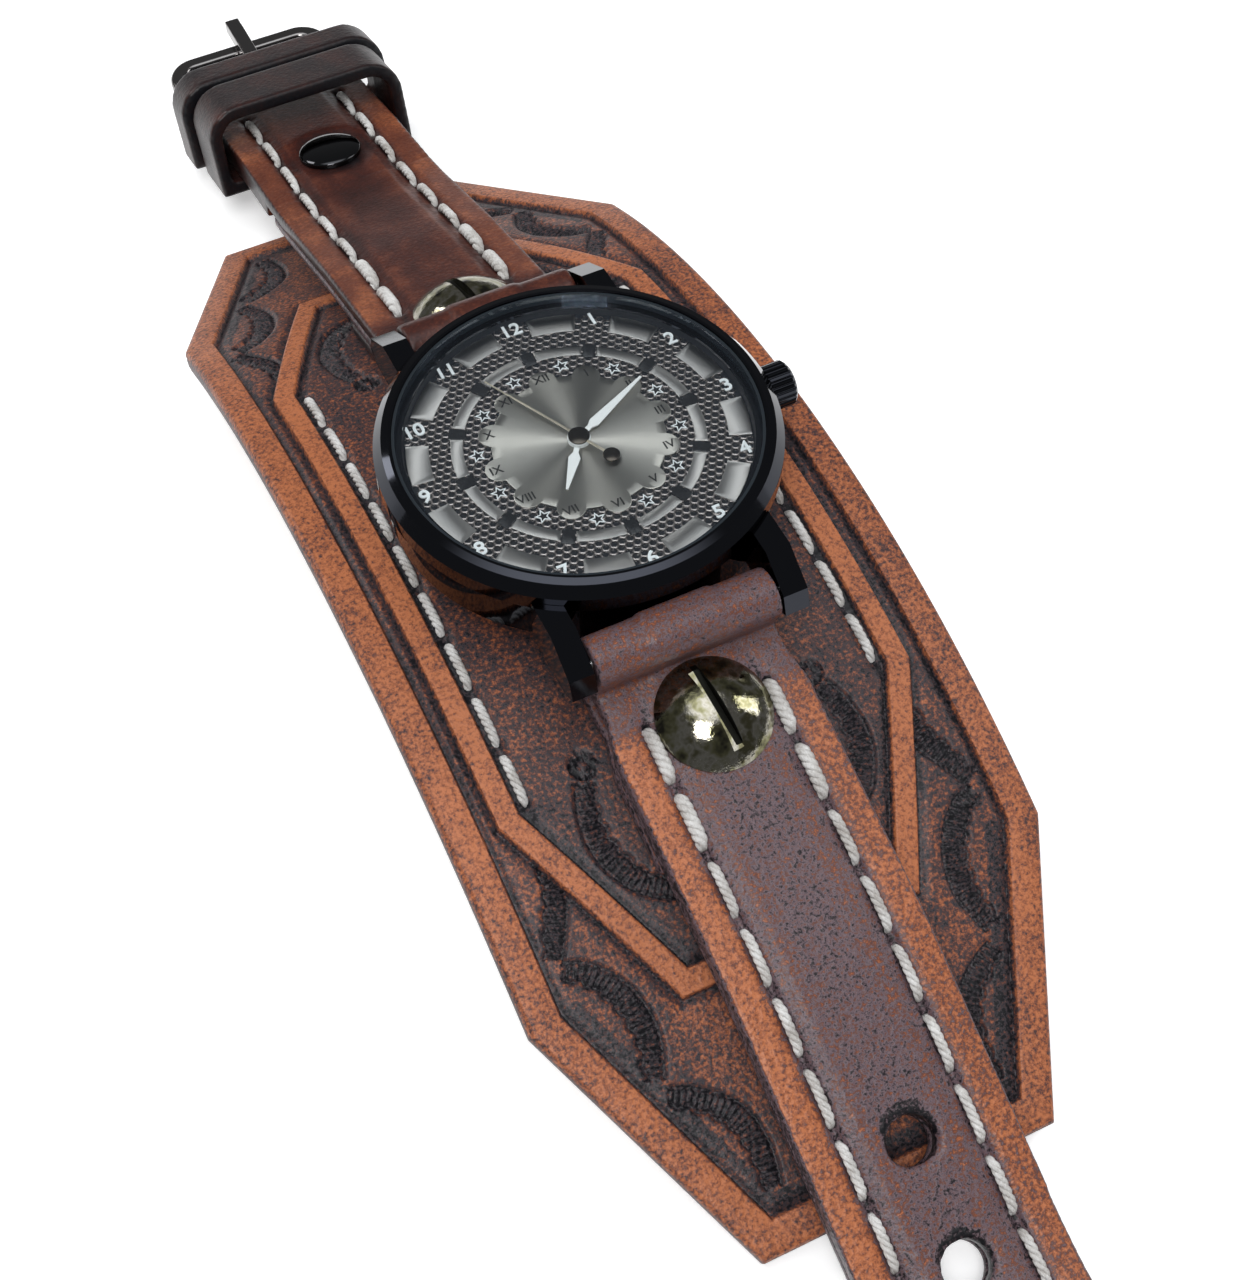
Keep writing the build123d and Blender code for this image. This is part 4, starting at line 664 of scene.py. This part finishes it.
for name, body in (("free_keeper", "free_keeper"), ("fixed_keeper", "buckle_end")):
    mesh = worn_copy(name + "_skin", [name], passes=6)
    points, normals = points_of(mesh), normals_of(mesh)
    tone = 0.78 + 0.2 * step(np.abs(normals[:, 1]), 0.4, 0.8)
    if name == "free_keeper":
        # On the free keeper, a tan streak along the front top edge is a painted highlight.
        front = points[:, 1] + 0.28 * points[:, 2]
        painted_highlight = step(normals[:, 2], 0.3, 0.9) * np.exp(-((front - front.min() - 1.3) / 0.9) ** 2)
        tone = tone - 0.4 * painted_highlight * (0.6 + 0.4 * np.sin(points[:, 0] / 5.0 + 0.6))
    paint(mesh, dye=tone)
    new_piece(name + "_skin", mesh, upper_leather, body, [name])

# Thread: three plies twisted together, going down into the leather at each end of a stitch

thread = Look("thread", Roughness=0.75)
fibres = thread.noise(0.16, 3.0, 0.6, thread.squeezed(1.0, 0.35, 1.0))
grime = thread.noise(2.6, 2.0)
thread.bump(fibres, 0.12)
thread_material = thread.finish(
    Base_Color=thread.ramp(thread.sum(thread.times(fibres, 0.5), thread.times(grime, 0.7, 0.15)),
                           (0.25, (0.4, 0.37, 0.34)), (0.55, (0.74, 0.73, 0.71)),
                           (0.8, (0.9, 0.9, 0.89))))

ply_count = 3
ply_radius = 0.27
twist_radius = 0.27
twist_length = 2.5
ply_sides = 7
double_size = 1.4


def twisted(stitches, thick=()):
    """Points and faces of the threads of stitches."""
    points, faces = [], []
    count = 44
    for number, (middle, along, outward, length) in enumerate(stitches):
        size = double_size if number in thick else 1.0
        half = length / 2 + 0.22
        lengths = np.linspace(-half, half, count)
        sink = np.abs(lengths / half) ** 6
        lift = -0.05 + 0.12 * size - 1.2 * sink
        side = np.cross(along, outward)
        for ply in range(ply_count):
            turn = 2 * np.pi * (lengths / twist_length + ply / ply_count) + number * 1.7
            swing = twist_radius * size * (1 - 0.5 * sink)
            centre = (middle + lengths[:, None] * along
                      + (lift + swing * np.sin(turn))[:, None] * outward
                      + (swing * np.cos(turn))[:, None] * side)
            tangent = np.gradient(centre, axis=0)
            tangent /= np.linalg.norm(tangent, axis=1)[:, None]
            first = np.cross(tangent, side)
            first /= np.linalg.norm(first, axis=1)[:, None]
            second = np.cross(tangent, first)
            start = sum(len(part) for part in points)
            ring = []
            for spoke in range(ply_sides):
                angle = 2 * np.pi * spoke / ply_sides
                ring.append(centre + ply_radius * size * (math.cos(angle) * first
                                                         + math.sin(angle) * second))
            tube = np.stack(ring, 1).reshape(-1, 3)
            points.append(tube)
            faces += loop_faces(count, ply_sides, start)
            last = start + (count - 1) * ply_sides
            faces.append(tuple(reversed(range(start, start + ply_sides))))
            faces.append(tuple(range(last, last + ply_sides)))
    return np.concatenate(points), faces


def first_two(stitches, nearest_y):
    """Numbers of the two stitches of each row nearest the screw, which are sewn double."""
    order = sorted(range(len(stitches)), key=lambda i: abs(stitches[i][0][1] - nearest_y))
    return order[:4]


def sewn(name, stitches, thick, body, replaced):
    """The threads of some rows as one piece."""
    return new_piece(name, mesh_of(name, *twisted(stitches, thick)), thread_material, body,
                     replaced)


sewn("cuff_thread", cuff_stitches, (), root, ["cuff_stitching"])
lower_thread = sewn("lower_thread", lower_stitches, first_two(lower_stitches, screw_low[1] + 6),
                    None, ["lower_strap_stitching", "strap_tail_stitching"])
blend_across(lower_thread)
upper_thread = sewn("upper_thread", upper_stitches, first_two(upper_stitches, screw_high[1] + 2),
                    None, ["upper_strap_stitching", "buckle_end_stitching"])
blend_across(upper_thread)

# Metal and glass


def turned(name, seat, lean, profile, material, body, replaced, sides=72):
    """A turned piece from its (radius, height) profile, on a seat that leans about X."""
    turns = np.linspace(0, 2 * np.pi, sides, endpoint=False)
    up = np.array([0, -math.sin(lean), math.cos(lean)])
    back = np.array([0, math.cos(lean), math.sin(lean)])
    points = [seat + radius * (math.cos(turn) * np.array([1, 0, 0]) + math.sin(turn) * back)
              + height * up for radius, height in profile for turn in turns]
    new_piece(name, mesh_of(name, points, loop_faces(len(profile), sides)), material, body,
              replaced, sharp=40)


def metal(name, colour, rough, scratch=0.0, streak=(1.0, 1.0, 1.0), tint=None):
    """Polished or brushed metal, with fine scratches."""
    look = Look(name, Metallic=1.0, Base_Color=colour)
    lines = look.noise(0.25, 4.0, 0.7, look.squeezed(*streak))
    cloud = look.noise(3.0, 3.0, 0.6)
    if scratch:
        look.bump(lines, scratch)
    links = {"Roughness": look.sum(look.times(cloud, rough, rough / 2),
                                   look.times(lines, rough / 2), rough / 2)}
    if tint:
        links["Base_Color"] = look.ramp(cloud, (0.35, colour), (0.65, tint))
    return look.finish(**links)


case_metal = metal("case_metal", (0.034, 0.036, 0.043), 0.07)

screw_slot_turn = 5.0
screw_head_radius = 5.9
screw_apart = screw_high[1] - screw_low[1] - 2 * screw_head_radius
slot_shade_place = 0.26
slot_shade_half = 0.34
slot_half_length = 4.4


def screw_looks():
    """Old bronze, olive-patinated, with pale noise patches that are painted reflections, and a screwdriver slot
    whose far wall is in painted shade.
    """
    look = Look("screw_metal", Metallic=1.0)
    turn = math.radians(screw_slot_turn)
    across = look.node("SeparateXYZ", {0: look.place}, 0)
    along = look.node("SeparateXYZ", {0: look.place}, 1)
    side = look.node("Math", {0: along}, operation="SIGN")
    along = look.times(along, 1.0, (screw_high[1] + screw_low[1]) / 2 * mm)
    along = look.sum(along, look.times(side, -screw_apart / 2 * mm))
    off_slot = look.sum(look.times(across, math.cos(turn)), look.times(along, math.sin(turn)))
    shaded = look.node("Math", {0: off_slot, 1: slot_shade_place * mm, 2: slot_shade_half * mm},
                       operation="COMPARE")
    within = look.node("Math", {0: along, 1: 0.0, 2: slot_half_length * mm}, operation="COMPARE")
    shaded = look.node("Math", {0: shaded, 1: within}, operation="MULTIPLY")
    patina_and_reflections = look.noise(2.6, 3.0, 0.6)
    # The pale stop gives painted reflection patches set by noise; the darker stops are the olive patina.
    colour = look.ramp(patina_and_reflections, (0.34, (0.05, 0.046, 0.036)), (0.45, (0.2, 0.19, 0.105)),
                       (0.56, (0.36, 0.34, 0.29)), (0.66, (0.14, 0.13, 0.075)))
    look.bump(look.noise(0.8, 3.0, 0.6), 0.035)
    rough = look.sum(look.times(patina_and_reflections, 0.16), look.times(shaded, 0.4), 0.0)
    return look.finish(Base_Color=look.mix(shaded, colour, (0.012, 0.012, 0.01)),
                       Roughness=rough)


screw_metal = screw_looks()
buckle_metal = metal("buckle_metal", (0.2, 0.19, 0.185), 0.1, 0.01)
black_metal = metal("black_metal", (0.045, 0.045, 0.048), 0.1)
steel = metal("wheel_steel", (0.55, 0.55, 0.55), 0.25)
wheel_brass = metal("wheel_brass", (0.66, 0.5, 0.25), 0.3)
plate_metal = metal("plate_metal", (0.6, 0.56, 0.45), 0.3, 0.01, (1.0, 8.0, 1.0))


rivet_rim = 0.45
rivet_dome = 0.75
shank_radius = 1.4
shank_depth = 3.4
dome = [(rivet_radius * math.sin(angle), rivet_rim + rivet_dome * math.cos(angle))
        for angle in (share * math.pi / 2 for share in np.linspace(1, 0.003, 14))]
turned("rivet_head", rivet_seat, upper_slope,
       [(0.01, -shank_depth), (shank_radius, -shank_depth), (shank_radius, 0.0),
        (rivet_radius, 0.0), *dome], black_metal, "buckle_end", ["fold_rivet"])

# Polishing has rounded the edges of the cast buckle
for node in ("buckle_prong", "buckle_frame"):
    mesh = worn_copy(node + "_polished", [node], voxel=0.16, passes=5)
    new_piece(node + "_polished", mesh, buckle_metal, node, [node])


def plain(name, colour, rough, grain=0.02, **sockets):
    """Plastic, rubber or paint with a fine surface texture."""
    look = Look(name, Base_Color=colour, **sockets)
    spots = look.noise(0.3, 3.0)
    look.bump(spots, grain)
    return look.finish(Roughness=look.sum(look.times(spots, 0.15, 0.075), rough))


dark_ring = plain("dark_ring", (0.008, 0.009, 0.012), 0.35)
rubber = plain("gasket_rubber", (0.01, 0.01, 0.01), 0.6)
crystal_seat = plain("crystal_seat", (0.02, 0.026, 0.032), 0.15)
white_plastic = plain("holder_plastic", (0.7, 0.7, 0.68), 0.45)
green_board = plain("board_green", (0.02, 0.12, 0.05), 0.3)
copper = metal("copper_wire", (0.6, 0.25, 0.1), 0.3, 0.02, (1.0, 8.0, 8.0))
hand_white = plain("hand_white", (0.85, 0.86, 0.84), 0.35)
hand_dark = metal("hand_dark", (0.1, 0.085, 0.07), 0.2)


def join(tree, *links):
    """Link sockets of a node tree, from (source, target) pairs."""
    for source, target in links:
        tree.links.new(source, target)


glass = bpy.data.materials.new("crystal_glass")
glass.use_nodes = True
glass_tree = glass.node_tree
glass_tree.nodes.clear()
clear = glass_tree.nodes.new("ShaderNodeBsdfTransparent")
clear.inputs["Color"].default_value = (0.97, 0.985, 0.99, 1)
mirror = glass_tree.nodes.new("ShaderNodeBsdfGlossy")
mirror.inputs["Roughness"].default_value = 0.02
mirror.inputs["Color"].default_value = (0.75, 0.85, 1.0, 1)
edge_on = glass_tree.nodes.new("ShaderNodeLayerWeight")
edge_on.inputs["Blend"].default_value = 0.08
pane = glass_tree.nodes.new("ShaderNodeMixShader")
surface = glass_tree.nodes.new("ShaderNodeOutputMaterial")
join(glass_tree, (edge_on.outputs["Facing"], pane.inputs[0]),
     (clear.outputs[0], pane.inputs[1]), (mirror.outputs[0], pane.inputs[2]),
     (pane.outputs[0], surface.inputs[0]))

finishes = {
    case_metal: ["case_middle", "bezel", "case_back", "crown"],
    screw_metal: ["strap_screws", "strap_screw_backs"],
    buckle_metal: ["buckle_bar"],
    black_metal: ["fold_rivet_back"],
    glass: ["crystal"],
    rubber: ["case_back_gasket"],
    crystal_seat: ["crystal_gasket"],
    dark_ring: ["rehaut", "dial"],
    hand_white: ["hour_hand", "minute_hand"],
    hand_dark: ["seconds_hand"],
    white_plastic: ["movement_holder", "rotor", "fifth_wheel", "minute_wheel"],
    plate_metal: ["main_plate", "train_bridge"],
    steel: ["battery", "stator", "stem", "setting_lever", "spring_bar_tubes",
            "spring_bar_springs", *(f"spring_bar_tip_{number}" for number in range(1, 5))],
    copper: ["coil"],
    green_board: ["circuit_board"],
    wheel_brass: ["fourth_wheel", "third_wheel", "centre_wheel", "cannon_pinion", "hour_wheel"],
}
for material, names in finishes.items():
    for name in names:
        nodes[name].data.materials.clear()
        nodes[name].data.materials.append(material)

# The dial: brushed plates and printed marks over a honeycomb, all thinner than the hands' room


def dial_metal(name, colour, rough, turned_share=0.85):
    """Metal brushed in rings or rays about the dial's middle."""
    look = Look(name, Metallic=1.0, Base_Color=colour, Anisotropic=turned_share)
    tangent = look.tree.nodes.new("ShaderNodeTangent")
    tangent.direction_type = "RADIAL"
    tangent.axis = "Z"
    look.set(look.shader.inputs["Tangent"], tangent.outputs[0])
    return look.finish(Roughness=rough)


sunburst = dial_metal("dial_sunburst", (0.46, 0.44, 0.4), 0.42, 0.95)
plate_silver = dial_metal("dial_silver", (0.48, 0.46, 0.44), 0.45, 0.9)
comb_metal = metal("dial_comb", (0.36, 0.32, 0.3), 0.35)
block_black = plain("dial_black", (0.012, 0.012, 0.013), 0.3)
mark_white = plain("dial_white", (0.85, 0.88, 0.88), 0.4)
mark_black = plain("dial_print", (0.02, 0.018, 0.017), 0.4)


def on_dial(radius, clock):
    """(x, y) on the dial from a distance and an angle clockwise from 12 o'clock."""
    turn = np.radians(clock)
    return np.stack([radius * np.sin(turn), radius * np.cos(turn)], -1)


def above_dial(flat, height):
    """Points at a height above the dial, from (x, y) about its middle."""
    return np.column_stack([flat[:, 0] + watch_x, flat[:, 1] + watch_y,
                            np.full(len(flat), dial_z + height)])


def plates(name, outlines, low, high, material, body=root, replaced=()):
    """Flat plates with bevelled rims, from outlines round the dial's middle."""
    points, faces = [], []
    bevel = 0.05
    for outline in outlines:
        outline = np.asarray(outline, float)
        area = np.sum(outline[:, 0] * np.roll(outline[:, 1], -1)
                      - np.roll(outline[:, 0], -1) * outline[:, 1])
        if area < 0:
            outline = outline[::-1]
        before = outline - np.roll(outline, 1, 0)
        after = np.roll(outline, -1, 0) - outline
        before /= np.linalg.norm(before, axis=1)[:, None] + 1e-9
        after /= np.linalg.norm(after, axis=1)[:, None] + 1e-9
        inward = np.stack([-(before + after)[:, 1], (before + after)[:, 0]], -1)
        inward /= np.linalg.norm(inward, axis=1)[:, None] + 1e-9
        count = len(outline)
        start = sum(len(part) for part in points)
        points += [above_dial(outline, low), above_dial(outline, high - bevel / 2),
                   above_dial(outline + inward * bevel, high)]
        faces += loop_faces(3, count, start)
        faces.append(tuple(range(start + 2 * count, start + 3 * count)))
    mesh = mesh_of(name, np.concatenate(points), faces)
    return new_piece(name, mesh, material, body, replaced, sharp=30)


def arc_block(inner, outer, start, end, count=12):
    """Outline of a block between two circles."""
    clock = np.linspace(start, end, count)
    return np.concatenate([on_dial(outer, clock), on_dial(inner, clock[::-1])])


def honeycomb(inner, outer, pitch=0.88, wall=0.24, height=0.12):
    """A plate of hexagonal cells between two circles."""
    points, faces = [], []
    reach = int(outer / pitch) + 2
    corners = np.radians(30 + 60 * np.arange(6))
    ring = np.stack([np.cos(corners), np.sin(corners)], -1) / math.sqrt(3)
    for row in range(-2 * reach, 2 * reach):
        for column in range(-reach, reach):
            spot = np.array([(column + 0.5 * (row % 2)) * pitch, row * pitch * math.sqrt(3) / 2])
            if not inner < np.hypot(*spot) < outer:
                continue
            start = len(points)
            for scale, z in ((pitch, height * 0.7), (pitch - wall, height), (pitch - wall, 0.0)):
                points += [(*(spot + corner * scale + (watch_x, watch_y)), dial_z + 0.01 + z)
                           for corner in ring]
            faces += loop_faces(3, 6, start)
    mesh = mesh_of("dial_honeycomb", points, faces)
    new_piece("dial_honeycomb", mesh, comb_metal, root, sharp=25)


honeycomb(9.2, 17.6)
half_hours = np.arange(15, 360, 30)
hours = np.arange(0, 360, 30)
for name, clocks, inner, outer, half, count, height, material in (
        ("dial_blocks", half_hours, 15.35, 17.75, 8.6, 12, 0.2, plate_silver),
        ("dial_inner_blocks", half_hours, 11.85, 13.15, 11.4, 18, 0.2, plate_silver),
        ("dial_hour_blocks", hours, 11.6, 13.45, 3.1, 6, 0.19, block_black)):
    plates(name, [arc_block(inner, outer, clock - half, clock + half, count) for clock in clocks],
           0.0, height, material)

# The middle plate: a lobe at each hour, and a bay round each star

lobe_reach = 8.85
lobe_radius = 1.5
bay_radius = 1.3
star_place = 10.5
middle_radius = 9.0
middle_bore = 1.1
middle_height = 0.24
middle_rim_height = 0.2
middle_bevel = 0.08


def middle_plate():
    clock = np.arange(0, 360, 0.5)
    from_hour = np.radians((clock + 15) % 30 - 15)
    lobe_side = lobe_reach * np.sin(from_hour)
    lobe = (lobe_reach * np.cos(from_hour)
            + np.sqrt(np.maximum(lobe_radius ** 2 - lobe_side ** 2, 0)))
    rim = np.where(np.abs(lobe_side) < lobe_radius, np.maximum(lobe, middle_radius),
                   middle_radius)
    from_star = np.radians(clock % 30 - 15)
    bay_side = star_place * np.sin(from_star)
    bay = (star_place * np.cos(from_star)
           - np.sqrt(np.maximum(bay_radius ** 2 - bay_side ** 2, 0)))
    rim = np.where(np.abs(bay_side) < bay_radius, np.minimum(rim, bay), rim)
    rings = [(share, middle_bevel, middle_height) for share in np.linspace(0, 1, 9)]
    rings += [(1.0, 0.0, middle_rim_height), (1.0, 0.0, 0.0)]
    points = [above_dial(on_dial(middle_bore + (rim - middle_bore - inset) * share, clock), height)
              for share, inset, height in rings]
    mesh = mesh_of("dial_middle", np.concatenate(points), loop_faces(len(rings), len(clock)))
    new_piece("dial_middle", mesh, sunburst, root, sharp=30)


middle_plate()


def star(clock, outer, inner):
    """Outline of a five-pointed star on the dial."""
    turns = np.arange(10) * 36
    radii = np.where(np.arange(10) % 2 == 0, outer, inner)
    return on_dial(radii, turns) + on_dial(star_place, clock)


star_middle = (0.64, 0.27)


def star_rings():
    points, faces = [], []
    for clock in half_hours:
        start = len(points)
        for outer, inner, z in ((0.94, 0.42, 0.12), (0.9, 0.4, 0.2), (0.68, 0.29, 0.2),
                                (*star_middle, 0.12)):
            points += [(x + watch_x, y + watch_y, dial_z + z) for x, y in star(clock, outer, inner)]
        for ring in range(3):
            base = start + ring * 10
            faces += [(base + (i + 1) % 10, base + i, base + 10 + i, base + 10 + (i + 1) % 10)
                      for i in range(10)]
    new_piece("dial_stars", mesh_of("dial_stars", points, faces), mark_white, root,
              sharp=20)
    plates("dial_star_middles", [star(clock, *star_middle) for clock in half_hours], 0.0, 0.15,
           block_black)


star_rings()


def numerals(name, words, radius, size, low, thickness, weight, material):
    """Upright numbers round the dial, one at each hour."""
    work = bmesh.new()
    for number, word in enumerate(words, start=1):
        curve = bpy.data.curves.new(name, "FONT")
        curve.body = word
        curve.size = size * mm
        curve.align_x = "CENTER"
        curve.align_y = "CENTER"
        curve.extrude = thickness / 2 * mm
        curve.offset = weight * mm
        text = bpy.data.objects.new(name, curve)
        bpy.context.scene.collection.objects.link(text)
        x, y = on_dial(radius, 30 * number)
        text.location = Vector((watch_x + x, watch_y + y, dial_z + low + thickness / 2)) * mm
        bpy.context.view_layer.update()
        mesh = bpy.data.meshes.new_from_object(
            text.evaluated_get(bpy.context.evaluated_depsgraph_get()))
        mesh.transform(text.matrix_world)
        work.from_mesh(mesh)
        bpy.data.objects.remove(text)
    mesh = bpy.data.meshes.new(name)
    work.to_mesh(mesh)
    work.free()
    mesh.materials.clear()
    new_piece(name, mesh, material, root, sharp=30)


numerals("dial_numbers", [str(number) for number in range(1, 13)], radius=17.0, size=2.35,
         low=0.15, thickness=0.13, weight=0.045, material=mark_white)
numerals("dial_roman", "I II III IV V VI VII VIII IX X XI XII".split(), radius=9.25, size=1.45,
         low=0.23, thickness=0.03, weight=0.02, material=mark_black)

# The seconds hand: a thin bright needle under a dark boss and counterweight

seconds_clock = 333.0
needle_reach, needle_tail = 12.4, 4.2
needle_low, needle_high = (level[2] - dial_z for level in box_mm("seconds_hand"))
bright_steel = metal("needle_metal", (0.95, 0.86, 0.68), 0.5)


def across_hand(radius, offset):
    """(x, y) beside the seconds hand's line."""
    return on_dial(radius, seconds_clock) + on_dial(offset, seconds_clock + 90)


needle = [across_hand(radius, half * hand) for hand in (-1, 1)
          for radius, half in ((-needle_tail, 0.14), (0.0, 0.14), (needle_reach, 0.08))[::hand]]
plates("seconds_needle", [needle], needle_low, needle_high - 0.03, bright_steel,
       "seconds", ["seconds_hand"])
round_clock = np.arange(0, 360, 7.5)
boss_radius, weight_radius = 1.12, 0.88
plates("seconds_boss", [on_dial(boss_radius, round_clock), on_dial(weight_radius, round_clock)
                        + on_dial(-needle_tail, seconds_clock)],
       needle_low, needle_high + 0.04, hand_dark, "seconds", ["seconds_hand"])

# Floor, light and camera

floor_mesh = bpy.data.meshes.new("floor")
floor_reach = 3.0
floor_mesh.from_pydata([(x * floor_reach, y * floor_reach, 0)
                        for x, y in ((-1, -1), (1, -1), (1, 1), (-1, 1))], [], [(0, 1, 2, 3)])
floor = bpy.data.objects.new("floor", floor_mesh)
floor.location.z = -0.05 * mm
bpy.context.scene.collection.objects.link(floor)
floor_look = Look("floor", Base_Color=(0.93, 0.93, 0.93), Roughness=0.8,
                  Emission_Color=(1.0, 1.0, 1.0))
seen = floor_look.tree.nodes.new("ShaderNodeLightPath").outputs
looked_at = floor_look.node("Math", {0: seen["Is Camera Ray"], 1: seen["Is Glossy Ray"]},
                            operation="MAXIMUM")
looked_at = floor_look.node("Math", {0: looked_at, 1: seen["Is Transmission Ray"]},
                            operation="MAXIMUM")
floor_look.finish(Emission_Strength=floor_look.times(looked_at, 0.4))
floor_mesh.materials.append(floor_look.material)

# The studio is dim at the sides and bright overhead, and white where the camera sees it
world = bpy.data.worlds.new("studio")
bpy.context.scene.world = world
world.use_nodes = True
air = world.node_tree
sky = air.nodes["Background"]
sky.inputs["Color"].default_value = (0.95, 0.97, 1.0, 1)
direction = air.nodes.new("ShaderNodeTexCoord")
parts = air.nodes.new("ShaderNodeSeparateXYZ")
overhead = air.nodes.new("ShaderNodeMapRange")
overhead.interpolation_type = "SMOOTHSTEP"
for socket, value in zip(overhead.inputs[1:5], (0.86, 1.0, 0.16, 2.6)):
    socket.default_value = value
seen = air.nodes.new("ShaderNodeLightPath")
strength = air.nodes.new("ShaderNodeMath")
strength.operation = "MAXIMUM"
join(air, (direction.outputs["Generated"], parts.inputs[0]),
     (parts.outputs["Z"], overhead.inputs["Value"]),
     (overhead.outputs["Result"], strength.inputs[0]),
     (seen.outputs["Is Camera Ray"], strength.inputs[1]),
     (strength.outputs[0], sky.inputs["Strength"]))


def lamp(name, place, size, power, target=(0, 0, 0.03)):
    """A soft box that faces the watch."""
    light = bpy.data.lights.new(name, "AREA")
    light.shape = "RECTANGLE"
    light.size, light.size_y = size
    light.energy = power
    lit = bpy.data.objects.new(name, light)
    lit.location = place
    lit.rotation_euler = (Vector(target) - Vector(place)).to_track_quat("-Z", "Y").to_euler()
    bpy.context.scene.collection.objects.link(lit)


lamp("key_light", (-0.24, -0.4, 0.75), (0.3, 0.3), 3.4)
lamp("back_light", (-0.35, 0.5, 0.45), (0.3, 0.2), 1.3)
lamp("side_light", (0.6, -0.1, 0.4), (0.2, 0.4), 1.0)

focal_pixels = 2200.0
long_side_pixels = 1280.0
sensor = 36.0
eye = Vector((-59.08, -135.54 + watch_y, 168.45 + rim_z)) * mm
right = Vector((0.89872, -0.43845, -0.00778))
down = Vector((-0.36025, -0.72808, -0.5832))
forward = Vector((0.25004, 0.52694, -0.81229))
camera_data = bpy.data.cameras.new("camera")
camera_data.sensor_width = sensor
camera_data.lens = sensor * focal_pixels / long_side_pixels
camera_data.clip_start = 0.01
camera = bpy.data.objects.new("camera", camera_data)
camera.matrix_world = Matrix.Translation(eye) @ Matrix(
    (right, -down, -forward)).transposed().to_4x4()
bpy.context.scene.collection.objects.link(camera)
bpy.context.scene.camera = camera

bpy.context.scene.view_settings.view_transform = "Standard"
